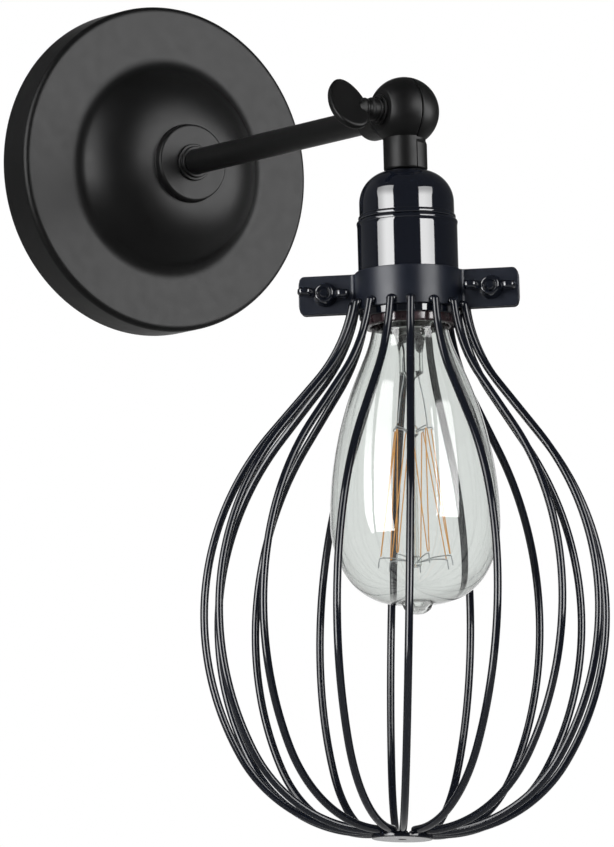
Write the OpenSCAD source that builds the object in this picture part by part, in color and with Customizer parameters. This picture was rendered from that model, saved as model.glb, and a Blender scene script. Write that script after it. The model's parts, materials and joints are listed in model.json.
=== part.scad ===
// Cage wall light: a canopy on the wall, a straight arm, a ball knuckle that
// tilts, a lampholder with a filament bulb, and a balloon cage of wires on a
// split clamp band.
//
// Frame: millimetres, +Z up. The wall is the plane y = 0 and the light stands
// out towards -Y. The origin is the centre of the canopy's rear edge.

/* [Canopy] */
// Diameter of the canopy
canopy_d = 130; // [124:1:140]
// How far the flat front stands off the wall
rim_depth = 17.5; // [16:0.5:22]
// Outer radius of the rolled front edge
rim_round = 2.5; // [2:0.5:4]
// Thickness of the spun sheet
canopy_t = 1.2; // [0.8:0.1:1.5]
// Diameter of the dome at the outer edge of its hollow foot
dome_d = 90; // [86:1:94]
// Height of the dome above the flat front
dome_h = 16.5; // [15:0.5:18]
// Radius of the hollow foot of the dome
dome_foot = 7.5; // [5:0.5:9]
// Steepest slope of the dome's flank
dome_flank = 56; // [52:1:60]
// Diameter of the boss at its foot
boss_d = 31; // [30.6:0.2:33]
// Diameter of the flat on top of the boss
boss_top_d = 28.4; // [26:0.2:28.4]
// Height of the boss above the dome
boss_h = 3.5; // [3:0.1:5]

/* [Wall bracket] */
// Length of the crossbar
bracket_l = 108; // [106:1:112]
// Width of the crossbar
bracket_w = 22; // [20:1:26]
// Thickness of the crossbar
bracket_t = 2.5; // [2:0.1:3]
// Distance between the centres of the two slots
slot_pitch = 80; // [78:1:82]
// Length of each slot, end to end
slot_l = 20; // [16:1:22]
// Width of each slot
slot_w = 4.8; // [4:0.2:5.4]
// Diameter of the threaded hub
hub_d = 18; // [16:0.5:20]
// Height of the threaded hub over the crossbar
hub_h = 5.5; // [4:0.5:7]

/* [Wiring in the canopy] */
// Length of the terminal block
block_l = 24; // [20:1:26]
// Width of the terminal block
block_w = 17; // [15:0.5:20]
// Height of the terminal block
block_h = 9.5; // [8:0.5:11]
// Diameter of a lead over its insulation
lead_d = 2; // [1.6:0.1:2.2]
// Outer diameter of the bush where the leads enter the arm
bush_d = 6.4; // [6:0.1:7]

/* [Arm] */
// Outer diameter of the tube
arm_d = 10; // [9:0.2:11]
// Wall of the tube
arm_wall = 1; // [0.8:0.1:1.2]
// Distance of the knuckle's centre from the wall
arm_reach = 192; // [170:1:230]
// Diameter of the collar's foot
collar_d = 14.6; // [14:0.1:16]
// Diameter of the collar's upper step
collar_step_d = 12.4; // [12:0.1:13.4]
// Height of each step of the collar
collar_step_h = 1.3; // [1:0.1:2]
// Lock nut across its flats
locknut_af = 14; // [13:0.5:16]
// Lock nut thickness
locknut_h = 3.5; // [3:0.5:5]

/* [Knuckle] */
// Diameter of the ball
ball_d = 26.6; // [25:0.2:30]
// Diameter of both necks
neck_d = 16.6; // [16:0.2:18]
// Distance from the ball's centre to the end of each neck
neck_l = 22.8; // [21:0.2:26]
// Resting lean of the lamp head out from the wall
head_lean = 2.7; // [0:0.1:6]
// Width of the seam between the two halves
seam = 0.4; // [0.2:0.1:0.6]
// Distance of the screw's flat from the ball's centre
flat_x = 10.7; // [10:0.1:11.4]
// Bevel at each end of a neck
neck_bevel = 0.9; // [0.4:0.1:1.2]
// Diameter of the thumb screw's shank
screw_d = 5; // [4:0.5:6]
// Diameter of the thumb screw's hub
hub_screw_d = 8.8; // [8:0.2:10]
// Length of the thumb screw's hub
hub_screw_l = 5.2; // [4:0.2:7]
// Paddle size along the screw
paddle_l = 16; // [14:0.5:22]
// Paddle size across the screw
paddle_w = 23.5; // [20:0.5:28]
// Paddle thickness
paddle_t = 3; // [2.4:0.1:3.6]
// Resting turn of the paddle about the screw
paddle_turn = 33; // [0:1:90]
// How far the paddle's middle lies off the screw's axis
paddle_lift = 1.4; // [0:0.1:2.4]

/* [Lampholder] */
// Diameter of the domed cap
cap_d = 36; // [34:0.2:36.2]
// Radius of the cap's shoulder
cap_round = 12.4; // [11:0.2:12.6]
// Height of the cap
cap_h = 17.2; // [15.5:0.1:20]
// Thickness of the cap and the shell
holder_t = 1; // [0.8:0.1:1.2]
// Diameter of the bead ring
ring_d = 37; // [36.4:0.1:37.4]
// Height of the bead ring
ring_h = 1.8; // [1.6:0.1:2.4]
// Diameter of the shell
shell_d = 38; // [37.4:0.2:40]
// Length of the shell
shell_l = 37.7; // [36:0.1:42]
// Radius of the shell's rolled shoulder
shell_round = 1.2; // [1.1:0.1:1.8]
// Inner diameter of the brown insulator
insulator_bore = 29.6; // [29.2:0.1:30.4]
// Depth of the insulator's rim that shows under the shell
insulator_lip = 3.3; // [1:0.1:4]
// Thread diameter of the nipple
nipple_d = 10; // [9:0.5:10.5]
// Wall of the nipple
nipple_wall = 1.3; // [1:0.1:1.6]

/* [Bulb] */
// Largest diameter of the glass
bulb_d = 64; // [60:1:66]
// Overall length, from the end contact to the glass tip
bulb_l = 140; // [138:1:142]
// Diameter of the glass neck
bulb_neck_d = 27; // [26.6:0.2:27.4]
// Diameter over the cap's thread
bulb_cap_d = 26.2; // [25.8:0.1:26.4]
// Length of the cap with its contact
bulb_cap_l = 27; // [26:0.5:28]
// Wall of the glass
glass_t = 0.7; // [0.5:0.1:1]
// Depth of the end contact below the lampholder's neck
bulb_seat = 28.9; // [28:0.1:29.4]
// Strands of the filament
strands = 14; // [8:2:20]
// Radius of the upper row of hooks
hook_top_r = 7.5; // [6:0.5:9]
// Radius of the lower row of hooks
hook_low_r = 13.6; // [12:0.2:15]

/* [Clamp band] */
// Height of the band and its ears
band_h = 14.8; // [12:0.2:16]
// Thickness of the band
band_t = 1.2; // [1:0.1:1.6]
// Running gap between the band and the shell
band_gap = 0.1; // [0.05:0.05:0.2]
// How far the band's lower edge stays above the shell's rim
band_up = 2.9; // [2:0.1:6]
// Reach of the ears from the lampholder's axis
ear_reach = 41.5; // [39:0.5:44]
// Gap between two facing ears
ear_gap = 2; // [1:0.2:3]
// Corner radius of the ears
ear_round = 2; // [1.5:0.1:4]
// Bend radius where an ear leaves the band
bend_r = 2; // [1:0.5:3]
// Distance of the bolts from the lampholder's axis
bolt_x = 31.5; // [29:0.5:33]
// Diameter of the clamp bolts
bolt_d = 4; // [3.5:0.5:5]
// Turn of the ears about the lampholder's axis, from +X
clamp_turn = -40; // [-60:1:-20]
// Span of a wing nut
wing_span = 20; // [17:0.5:21]
// Diameter of a wing nut's foot
wing_foot_d = 9.4; // [8.6:0.2:10]
// Height of a wing nut's hub
wing_hub_h = 5; // [4:0.5:6]

/* [Cage] */
// Number of wires
wires = 16; // [12:2:18]
// Diameter of the wire
wire_d = 3; // [2.6:0.1:3.2]
// Diameter of the cage at its widest, over the middle of the wires
cage_d = 151; // [140:1:160]
// Radius of the long curve above the widest place
upper_arc = 107.4; // [98:1:112]
// Angle of that curve
upper_turn = 39.4; // [36:0.5:42]
// Radius of the flare under the band
neck_arc = 60.5; // [50:1:66]
// Lean of the wire where it meets the band
neck_lean = 9; // [4:1:14]
// Radius of the curve below the widest place
lower_arc = 109; // [100:1:116]
// Angle of that curve
lower_turn = 30; // [26:1:34]
// Radius of the turn into the bottom
bottom_arc = 54.5; // [50:0.5:58]
// How far a wire's end rises above the band's lower edge
weld_rise = 1.5; // [0.5:0.1:2.5]
// Turn of the first wire about the lampholder's axis, from +X
wire_turn = -119.4; // [-125:0.1:-114]
// Lean of the wires' common axis from the lampholder's
cage_lean = 2.3; // [0:0.1:2.6]
// Diameter of the bottom disc
disc_d = 23; // [22:0.5:26]
// Thickness of the bottom disc
disc_t = 1.6; // [1.2:0.1:2.4]

/* [Hidden] */
$fn = 96;
wire_names = [for (i = [1:wires]) str("cage_wire_", i)];

// Fits
thread_fit = 0.05;
turn_fit = 0.08;
face_gap = 0.1;
far = 400;

// Canopy: an arc that is tangent to the flank above the hollow foot and meets the boss
canopy_r = canopy_d / 2;
dome_r = dome_d / 2;
boss_r = boss_d / 2;
boss_top_r = boss_top_d / 2;
boss_foot = rim_depth + dome_h;
boss_top = boss_foot + boss_h;
boss_edge = 1;
flank = [sin(dome_flank), cos(dome_flank)];
foot_c = [dome_r, rim_depth + dome_foot];
flank_p = foot_c - dome_foot * flank;
flank_d = flank_p - [boss_r, boss_foot];
dome_arc = (flank_d * flank_d) / (2 * (flank_d * flank));
dome_c = flank_p - dome_arc * flank;

// Bracket and wiring
block_low = hub_d / 2 + 4.5;
block_pitch = block_l / 3;
terminal_r = 1.9;
earth_x = -(slot_pitch - slot_l) / 2 + 9.5;
bush_y = bracket_t + hub_h + 11;
bush_flange = bush_d + 2;
washer_r = locknut_af * 0.72;
washer_t = 1.2;
nut_y = boss_top - canopy_t - washer_t;

// Arm and knuckle
arm_r = arm_d / 2;
ball_r = ball_d / 2;
neck_r = neck_d / 2;
thread_depth = 9;
arm_end = arm_reach - neck_l + thread_depth;
ball_gap = 0.4;
passage_r = 3.4;
cavity_r = ball_r - 3.9;
cavity_x = 6.5;
screw_r = screw_d / 2;
pivot_boss_r = screw_r + 2;
shoulder_z = sqrt((ball_r + ball_gap) ^ 2 - neck_r ^ 2);
shoulder_bevel_r = 0.8;
shoulder_bevel_z = 1.9;
flat_washer_t = 1;
spring_washer_t = 1.2;
hub_x = flat_x + face_gap + flat_washer_t + spring_washer_t;
screw_tip_x = ball_r - 4;
paddle_x = hub_x + hub_screw_l + paddle_l / 2 - 1.4;
paddle_taper = 0.15;
lead_lane = lead_d / 2 + 0.2;
lead_in = seam / 2 + lead_d / 2 + 0.2;
paddle_sides = 72;

// Lampholder, measured down from the knuckle's centre
cap_r = cap_d / 2;
ring_r = ring_d / 2;
shell_r = shell_d / 2;
nipple_r = nipple_d / 2;
cap_z = -neck_l;
ring_z = cap_z - cap_h;
shell_z = ring_z - ring_h;
shell_end = shell_z - shell_l;
sleeve_r = cap_r - holder_t - face_gap;
sleeve_t = 1;
sleeve_reach = 2.5;
nut_flange_t = 0.6;
nipple_nut_af = 13;
nipple_nut_h = 3;
nipple_end = cap_z - holder_t - nut_flange_t - nipple_nut_h - 1.5;
insulator_z = shell_z - 2 * shell_round - 0.2;
insulator_top_t = 4;
insulator_r = shell_r - holder_t - 0.2;
bore_r = insulator_bore / 2;
contact_z = insulator_z - insulator_top_t;
terminal_x = 11.5;
terminal_head_r = 2.4;
terminal_head_h = 1.8;

// Bulb
bulb_r = bulb_d / 2;
bulb_z = cap_z - bulb_seat;
bulb_tip_z = bulb_z - bulb_l;
bulb_cap_r = bulb_cap_d / 2;
bulb_rim_z = bulb_z - bulb_cap_l;
bulb_neck_r = bulb_neck_d / 2;
thread_pitch = 3.63;
thread_wave = 0.45;
cap_wall = 0.4;
side_arc = 143;
side_turn = 23;
throat_arc = 50;
belly_arc = 37.6;
belly_turn = 31.7;
base_arc = 23;
pip_r = 6.5;
belly_z = bulb_tip_z + 34.6;
hook_top_z = belly_z + 34.5;
hook_low_z = belly_z - 15;
stem_z = belly_z + 56;
stem_rod_r = 1.2;
stem_knob_r = stem_rod_r + 0.9;
support_r = 0.25;
strand_r = 0.22;
hooks = strands / 2;

// Clamp band, measured like the lampholder
band_in = shell_r + band_gap;
band_out = band_in + band_t;
band_low = shell_end + band_up;
band_mid = band_low + band_h / 2;
bolt_r = bolt_d / 2;
ear_in = ear_gap / 2;
ear_out = ear_in + band_t;
bend_x = sqrt((band_out + bend_r) ^ 2 - (ear_out + bend_r) ^ 2);
bolt_head_h = 2.8;
bolt_head_af = bolt_d * 1.75;
wing_t = 3;
wing_tip_r = 2.3;
wing_rise = wing_hub_h + 2.9;
bolt_end = ear_out + face_gap + wing_hub_h + 0.6;

// Cage: each wire is a chain of tangent arcs in an upright plane through the axis
wire_r = wire_d / 2;
cage_r = cage_d / 2;
weld_z = band_low + weld_rise;
weld_r = band_out + wire_r - 0.1;
flank_l = (cage_r - upper_arc * (1 - cos(upper_turn))
    - neck_arc * (cos(neck_lean) - cos(upper_turn)) - weld_r) / sin(upper_turn);
belt_z = weld_z - upper_arc * sin(upper_turn) - flank_l * cos(upper_turn)
    - neck_arc * (sin(upper_turn) - sin(neck_lean));
foot_z = belt_z - (lower_arc - bottom_arc) * sin(lower_turn) - bottom_arc;
disc_top = foot_z - wire_r + 0.35;
wire_end_r = wires * (wire_d + 0.5) / (2 * PI) + 0.1;
wire_tip = 0.9;
wire_thin = wire_r - 0.02;
wire_lap = 0.3;
// Unevenness of the hand-set wires in degrees, from the first wire round to the right
wire_uneven = [-2, 1, 2, 2, 0, 2, -1, 0, 1, 0, 1, -1, 0, -2, -2, 0];
// Direction of the axis that the wires' common axis leans about
cage_lean_turn = -32;

black = [0.07, 0.07, 0.07];
navy = [0.1, 0.11, 0.15];
steel = [0.72, 0.73, 0.75];
brass = [0.79, 0.62, 0.28];

// ---- shared shapes ----

function arc_pts(centre, r, from, to, steps) =
    [for (i = [0:steps]) let (a = from + (to - from) * i / steps)
        [centre.x + r * cos(a), centre.y + r * sin(a)]];

module along_x(x0, x1, r) {
    translate([x0, 0, 0]) rotate([0, 90, 0]) cylinder(h = x1 - x0, r = r);
}

// A cylinder or ring that stands out from the wall, from depth y0 to depth y1
module outward(y0, y1, r, bore = 0) {
    translate([0, -y0, 0]) rotate([90, 0, 0]) difference() {
        cylinder(h = y1 - y0, r = r);
        if (bore > 0) translate([0, 0, -1]) cylinder(h = y1 - y0 + 2, r = bore);
    }
}

module at_knuckle() {
    translate([0, -arm_reach, 0]) children();
}

// The lamp head's own upright frame, which leans out from the wall at rest
module in_head() {
    at_knuckle() rotate([-head_lean, 0, 0]) children();
}

module ring_at(z, h, r, bore) {
    translate([0, 0, z]) difference() {
        cylinder(h = h, r = r);
        translate([0, 0, -1]) cylinder(h = h + 2, r = bore);
    }
}

module hexagon(af, h) {
    cylinder(h = h, r = af / sqrt(3), $fn = 6);
}

function unit(v) = v / norm(v);

// A round lead swept along a short route of points
module lead(route, r, sides = 8) {
    last = len(route) - 1;
    rings = [for (i = [0:last]) let (
            t = unit(route[min(i + 1, last)] - route[max(i - 1, 0)]),
            u = unit(cross(t, abs(t.z) < 0.9 ? [0, 0, 1] : [1, 0, 0])),
            v = cross(t, u))
        for (k = [0:sides - 1]) route[i] + r * (cos(360 * k / sides) * u + sin(360 * k / sides) * v)];
    walls = [for (i = [0:last - 1]) for (k = [0:sides - 1]) let (
            a = i * sides + k,
            b = i * sides + (k + 1) % sides)
        [a, b, b + sides, a + sides]];
    ends = [[for (k = [sides - 1:-1:0]) k], [for (k = [0:sides - 1]) last * sides + k]];
    polyhedron(rings, concat(walls, ends));
}

// ---- canopy ----

module canopy_section() {
    translate([canopy_r - canopy_t, 0]) square([canopy_t, rim_depth - rim_round]);
    translate([canopy_r - rim_round, rim_depth - rim_round]) intersection() {
        difference() {
            circle(rim_round);
            circle(rim_round - canopy_t);
        }
        square(rim_round);
    }
    translate([dome_r, rim_depth - canopy_t])
        square([canopy_r - rim_round - dome_r, canopy_t]);
    dome_section();
}

// The dome's hollow foot, its arc and the boss, in sheet of even thickness
module dome_section() {
    flank_turn = 90 - dome_flank;
    boss_turn = atan2(boss_foot - dome_c.y, boss_r - dome_c.x);
    dome_step = (boss_turn - flank_turn) / 16;
    polygon(concat(
        arc_pts(foot_c, dome_foot, 270, 180 + flank_turn, 8),
        arc_pts(dome_c, dome_arc, flank_turn + dome_step, boss_turn, 15),
        arc_pts([boss_top_r, boss_top - boss_edge], boss_edge, 20, 90, 6),
        [[arm_r + thread_fit, boss_top], [arm_r + thread_fit, boss_top - canopy_t],
         [boss_top_r - 0.4, boss_top - canopy_t], [boss_r - canopy_t, boss_foot - canopy_t]],
        arc_pts(dome_c, dome_arc - canopy_t, boss_turn, flank_turn + dome_step, 15),
        arc_pts(foot_c, dome_foot + canopy_t, 180 + flank_turn, 270, 8)));
}

module canopy() {
    color(black) rotate([90, 0, 0]) rotate_extrude() canopy_section();
}

module slot_shape() {
    square([slot_l - slot_w, slot_w], center = true);
    for (side = [-1, 1])
        translate([side * (slot_l - slot_w) / 2, 0]) circle(slot_w / 2);
}

module mounting_bracket() {
    color(steel) difference() {
        union() {
            rotate([90, 0, 0]) linear_extrude(bracket_t) {
                square([bracket_l - bracket_w, bracket_w], center = true);
                for (side = [-1, 1])
                    translate([side * (bracket_l - bracket_w) / 2, 0]) circle(bracket_w / 2);
                translate([-block_l / 2, 0]) square([block_l, block_low + block_w]);
            }
            outward(bracket_t / 2, bracket_t + hub_h, hub_d / 2);
        }
        outward(-1, bracket_t + hub_h + 1, arm_r + thread_fit);
        for (side = [-1, 1]) translate([side * slot_pitch / 2, 1, 0])
            rotate([90, 0, 0]) linear_extrude(bracket_t + 2) slot_shape();
        translate([earth_x, 0, 0]) outward(-1, bracket_t + 1, 2 + thread_fit);
    }
}

module earth_screw() {
    color([0.25, 0.5, 0.3]) translate([earth_x, 0, 0]) difference() {
        union() {
            outward(0.3, bracket_t + 1, 2);
            outward(bracket_t, bracket_t + 2.4, 3.8);
        }
        translate([-0.5, -bracket_t - 2.5, -3]) cube([1, 1, 6]);
    }
}

module block_places() {
    for (i = [-1:1]) translate([i * block_pitch, 0, block_low]) children();
}

module terminal_block() {
    color([0.9, 0.9, 0.86]) difference() {
        translate([-block_l / 2, -bracket_t - block_h, block_low])
            cube([block_l, block_h, block_w]);
        block_places() {
            translate([0, 0, block_w / 2])
                outward(bracket_t + block_h - 4, bracket_t + block_h + 1, terminal_r + thread_fit);
            translate([0, -bracket_t - block_h / 2, -1])
                cylinder(h = 5, r = lead_d / 2 + 0.2);
        }
    }
}

module terminal_screws() {
    color(brass) block_places() translate([0, 0, block_w / 2]) difference() {
        outward(bracket_t + block_h - 4, bracket_t + block_h - 1, terminal_r);
        translate([-3, -bracket_t - block_h, -0.35]) cube([6, 1.8, 0.7]);
    }
}

// Route of one mains lead: out of the block, through the bush and along the arm, where the
// pair turns upright to enter the near half of the knuckle
function mains_route(side) = let (
        x = side * block_pitch,
        y = -bracket_t - block_h / 2,
        lane = side * lead_lane,
        turn_y = bush_y + 8)
    concat(
        [[x, y, block_low + 3], [x, y, block_low], [x * 0.9, y - 2, block_low - 3],
         [x * 0.5, y - 5, block_low - 4.5], [lane * 1.4, -bush_y + 3, arm_r + 5],
         [lane, -bush_y, arm_r + 2], [lane, -bush_y - 0.4, arm_r - 1.5],
         [lane, -bush_y - 3, 1.2]],
        [for (k = [0:4]) let (a = 22.5 * k)
            [lane * cos(a), -turn_y - (arm_reach - 3 * turn_y) * k / 4, lane * sin(a)]],
        [[lead_in, -(arm_reach - neck_l - 4), lane], [lead_in, -(arm_reach - cavity_r - 0.6), lane]]);

module live_lead() {
    color([0.08, 0.08, 0.08]) lead(mains_route(-1), lead_d / 2);
}

module neutral_lead() {
    color([0.9, 0.9, 0.9]) lead(mains_route(1), lead_d / 2);
}

module earth_lead() {
    y0 = -bracket_t - 1.2;
    color([0.2, 0.5, 0.25]) lead([
        [earth_x, y0, 4.4], [earth_x, y0 - 1, 6.5], [earth_x + 1, y0 - 5, 8],
        [earth_x + 4, -nut_y * 0.5, 8], [-washer_r - 1, -nut_y * 0.8, 5],
        [-washer_r + 1.2, -nut_y + 2.4, 1.8], [-washer_r + 1.2, -nut_y + 0.2, 1.8]], lead_d / 2);
}

module lead_bush() {
    color([0.12, 0.12, 0.12]) translate([0, -bush_y, 0]) difference() {
        union() {
            translate([0, 0, arm_r - arm_wall - 0.8])
                cylinder(h = arm_wall + 2, r = bush_d / 2 - thread_fit);
            difference() {
                translate([0, 0, arm_r - 1.3]) cylinder(h = 2.6, r = bush_flange / 2);
                translate([0, bush_flange, 0]) outward(0, 2 * bush_flange, arm_r);
            }
        }
        cylinder(h = arm_d, r = bush_d / 2 - 0.65);
    }
}

// ---- arm ----

module arm_tube() {
    color(black) difference() {
        outward(0.6, arm_end, arm_r, arm_r - arm_wall);
        translate([0, -bush_y, 0]) cylinder(h = arm_d, r = bush_d / 2);
    }
}

module arm_collar() {
    bevel = 0.3;
    color(black) translate([0, -boss_top, 0]) rotate([90, 0, 0]) rotate_extrude() polygon([
        [arm_r + thread_fit, 0], [collar_d / 2, 0],
        [collar_d / 2, collar_step_h - bevel], [collar_d / 2 - bevel, collar_step_h],
        [collar_step_d / 2, collar_step_h],
        [collar_step_d / 2, 2 * collar_step_h - bevel],
        [collar_step_d / 2 - bevel, 2 * collar_step_h],
        [arm_r + thread_fit, 2 * collar_step_h]]);
}

module locknut_washer() {
    color(steel) outward(nut_y, nut_y + washer_t, washer_r, arm_r + thread_fit);
}

module arm_locknut() {
    color(steel) translate([0, locknut_h - nut_y, 0]) rotate([90, 0, 0]) difference() {
        hexagon(locknut_af, locknut_h);
        translate([0, 0, -1]) cylinder(h = locknut_h + 2, r = arm_r + thread_fit);
    }
}

// ---- knuckle ----

// Everything on the far side of the seam, out to the other half's ball
module other_half(r) {
    intersection() {
        sphere(r);
        translate([-seam / 2, -far / 2, -far / 2]) cube(far);
    }
}

module neck_body() {
    translate([0, 0, 0]) rotate_extrude() polygon([
        [0, -neck_l], [neck_r - neck_bevel / 2, -neck_l], [neck_r, -neck_l + neck_bevel],
        [neck_r, 0], [0, 0]]);
}

// Bevel on the neck's shoulder beside the other half's ball
module shoulder_bevel() {
    intersection() {
        rotate_extrude() polygon([
            [neck_r - shoulder_bevel_r, -shoulder_z + 0.8],
            [neck_r + 1, -shoulder_z + 0.8],
            [neck_r + 1, -shoulder_z - shoulder_bevel_z],
            [neck_r, -shoulder_z - shoulder_bevel_z],
            [neck_r - shoulder_bevel_r, -shoulder_z]]);
        translate([seam / 2, -far / 2, -far / 2]) cube(far);
    }
}

// One half of the knuckle: a half-ball on the -X side and a neck that points down
module knuckle_half(outer_x, hole_from, hole_r, thread_r) {
    difference() {
        union() {
            intersection() {
                sphere(ball_r);
                translate([-outer_x, -far / 2, -far / 2]) cube([outer_x - seam / 2, far, far]);
            }
            difference() {
                neck_body();
                other_half(ball_r + ball_gap);
                shoulder_bevel();
            }
        }
        difference() {
            along_x(-cavity_x, 1, cavity_r);
            along_x(-cavity_x - 1, 2, pivot_boss_r);
        }
        translate([0, 0, -neck_l - 1]) cylinder(h = neck_l + 1 - cavity_r + 2, r = passage_r);
        translate([0, 0, -neck_l - 1]) cylinder(h = thread_depth + 1, r = thread_r + thread_fit);
        along_x(hole_from, 1, hole_r);
        for (side = [-1, 1]) translate([-seam / 2, side * neck_r - 0.35, -neck_l - 1])
            cube([seam, 0.7, neck_l + 1 - shoulder_z]);
    }
}

module knuckle_arm_half() {
    color(black) at_knuckle() rotate([90, 0, 0]) mirror([1, 0, 0])
        knuckle_half(ball_r, -screw_tip_x - 0.5, screw_r + thread_fit, arm_r);
}

module knuckle_lamp_half() {
    color(black) in_head()
        knuckle_half(flat_x, -ball_r, screw_r + turn_fit, nipple_r);
}

// An oval that is a little narrower at its upper end
module paddle_outline() {
    polygon([for (i = [0:paddle_sides - 1]) let (a = 360 * i / paddle_sides)
        [paddle_l / 2 * cos(a) * (1 - paddle_taper * sin(a)), paddle_w / 2 * sin(a) + paddle_lift]]);
}

module thumb_screw() {
    hub_r = hub_screw_d / 2;
    color(black) at_knuckle() {
        along_x(-hub_x - 1, screw_tip_x, screw_r);
        translate([-hub_x, 0, 0]) rotate([0, -90, 0]) rotate_extrude() polygon([
            [0, 0], [hub_r, 0], [hub_r, hub_screw_l * 0.45],
            [hub_r - 0.9, hub_screw_l * 0.62], [hub_r - 0.9, hub_screw_l * 0.8],
            [hub_r - 0.2, hub_screw_l], [0, hub_screw_l + 1.5]]);
        translate([-paddle_x, 0, 0]) rotate([90 - paddle_turn, 0, 0])
            linear_extrude(paddle_t, center = true) paddle_outline();
    }
}

module spring_washer() {
    color(steel) at_knuckle() difference() {
        along_x(-hub_x, -hub_x + spring_washer_t, screw_r + 2.3);
        along_x(-hub_x - 1, -hub_x + spring_washer_t + 1, screw_r + thread_fit);
        translate([-hub_x - 1, -0.4, 0]) cube([spring_washer_t + 2, 0.8, ball_r]);
    }
}

module flat_washer() {
    color(black) at_knuckle() difference() {
        along_x(-hub_x + spring_washer_t, -flat_x - face_gap, screw_r + 3.3);
        along_x(-hub_x, -flat_x, screw_r + thread_fit);
    }
}

// ---- lampholder ----

module holder_nipple() {
    color(steel) in_head()
        ring_at(nipple_end, cap_z + thread_depth - 0.5 - nipple_end, nipple_r, nipple_r - nipple_wall);
}

module nipple_nut() {
    z = cap_z - holder_t - nut_flange_t;
    color(steel) in_head() difference() {
        union() {
            translate([0, 0, z]) cylinder(h = nut_flange_t, r1 = nipple_r + 1, r2 = nipple_r + 0.3);
            translate([0, 0, z - nipple_nut_h]) hexagon(nipple_nut_af, nipple_nut_h);
        }
        translate([0, 0, z - nipple_nut_h - 1])
            cylinder(h = nipple_nut_h + nut_flange_t + 2, r = nipple_r + thread_fit);
    }
}

// Section of a cup that hangs from z = 0, with a rounded shoulder
module cup_section(r, shoulder, h) {
    translate([0, -h]) square([r, h - shoulder]);
    translate([0, -shoulder - 0.1]) square([r - shoulder, shoulder + 0.1]);
    translate([r - shoulder, -shoulder]) intersection() {
        circle(shoulder);
        translate([-0.1, -0.1]) square(shoulder + 0.1);
    }
}

module holder_cap() {
    color(navy) in_head() translate([0, 0, cap_z]) rotate_extrude() difference() {
        cup_section(cap_r, cap_round, cap_h);
        translate([0, -holder_t]) cup_section(cap_r - holder_t, cap_round - holder_t, cap_h);
        translate([0, -holder_t - 1]) square([nipple_r + thread_fit, holder_t + 2]);
    }
}

module holder_ring() {
    soft = 0.5;
    color(navy) in_head() rotate_extrude() {
        translate([sleeve_r - sleeve_t, shell_z]) square([ring_r - soft - sleeve_r + sleeve_t, ring_h]);
        translate([ring_r - soft - 0.1, shell_z + soft]) square([soft + 0.1, ring_h - 2 * soft]);
        for (z = [shell_z + soft, ring_z - soft]) translate([ring_r - soft, z]) circle(soft);
        translate([sleeve_r - sleeve_t, shell_z - sleeve_reach])
            square([sleeve_t, ring_h + 2 * sleeve_reach]);
    }
}

module holder_shell() {
    flange_r = sleeve_r + face_gap;
    color(navy) in_head() rotate_extrude() {
        translate([shell_r - holder_t, shell_end]) square([holder_t, shell_l - shell_round]);
        translate([flange_r, shell_z - holder_t])
            square([shell_r - shell_round - flange_r + 0.2, holder_t]);
        intersection() {
            translate([shell_r - shell_round + 0.2, shell_z - shell_round]) circle(shell_round);
            translate([flange_r, shell_end]) square([shell_r, shell_l]);
        }
    }
}

module holder_insulator() {
    low = shell_end - insulator_lip;
    color([0.25, 0.13, 0.09]) in_head() difference() {
        translate([0, 0, low]) cylinder(h = insulator_z - low, r = insulator_r);
        translate([0, 0, low - 1]) cylinder(h = contact_z - low + 1, r = bore_r);
        translate([0, 0, contact_z - 1]) cylinder(h = insulator_top_t + 2, r = 2 + thread_fit);
        for (side = [-1, 1]) translate([side * terminal_x, 0, insulator_z - 3])
            cylinder(h = 4, r = 1.5 + thread_fit);
    }
}

// Height of the thread's wave at a distance down the screw shell
function wave(d) = thread_wave * (0.5 - 0.5 * cos(360 * d / thread_pitch));

module screw_shell() {
    wall = 0.5;
    inner = bulb_cap_r + 0.4;
    turns = 6;
    steps = turns * 8;
    drop = turns * thread_pitch;
    top = contact_z;
    start = 2;
    inside = [for (i = [0:steps]) let (d = drop * i / steps)
        [inner + wave(d), top - start - d]];
    outside = [for (i = [steps:-1:0]) let (d = drop * i / steps)
        [inner + wall + wave(d), top - start - d]];
    color(brass) in_head() rotate_extrude() polygon(concat(
        [[9, top], [9, top - wall], [inner, top - wall]], inside, outside,
        [[inner + wall, top]]));
}

module centre_contact() {
    leaf_t = 0.6;
    color(brass) in_head() {
        translate([0, 0, bulb_z + face_gap]) cylinder(h = leaf_t, r = 4);
        translate([0, 0, bulb_z + face_gap + leaf_t / 2])
            cylinder(h = insulator_z - bulb_z - face_gap, r = 2);
    }
}

module holder_terminals() {
    color(brass) in_head() for (side = [-1, 1])
        translate([side * terminal_x, 0, insulator_z]) difference() {
            union() {
                cylinder(h = terminal_head_h, r = terminal_head_r);
                translate([0, 0, -2.8]) cylinder(h = 3, r = 1.5);
            }
            translate([-3, -0.35, terminal_head_h - 0.8]) cube([6, 0.7, 1]);
        }
}

function holder_route(side) = let (
        lane = side * lead_lane,
        stop = side * (terminal_x - terminal_head_r - lead_d / 2 - 0.1),
        out = stop + lead_in)
    [[-lead_in, lane, -cavity_r - 0.4], [-lead_in, lane, nipple_end],
     [-lead_in + out * 0.12, lane, nipple_end - 3], [stop * 0.8, lane * 0.6, nipple_end - 8],
     [stop, 0, insulator_z + 4], [stop, 0, insulator_z + 0.3]];

module holder_live_lead() {
    color([0.08, 0.08, 0.08]) in_head() lead(holder_route(-1), lead_d / 2);
}

module holder_neutral_lead() {
    color([0.9, 0.9, 0.9]) in_head() lead(holder_route(1), lead_d / 2);
}

// ---- bulb ----

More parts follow.
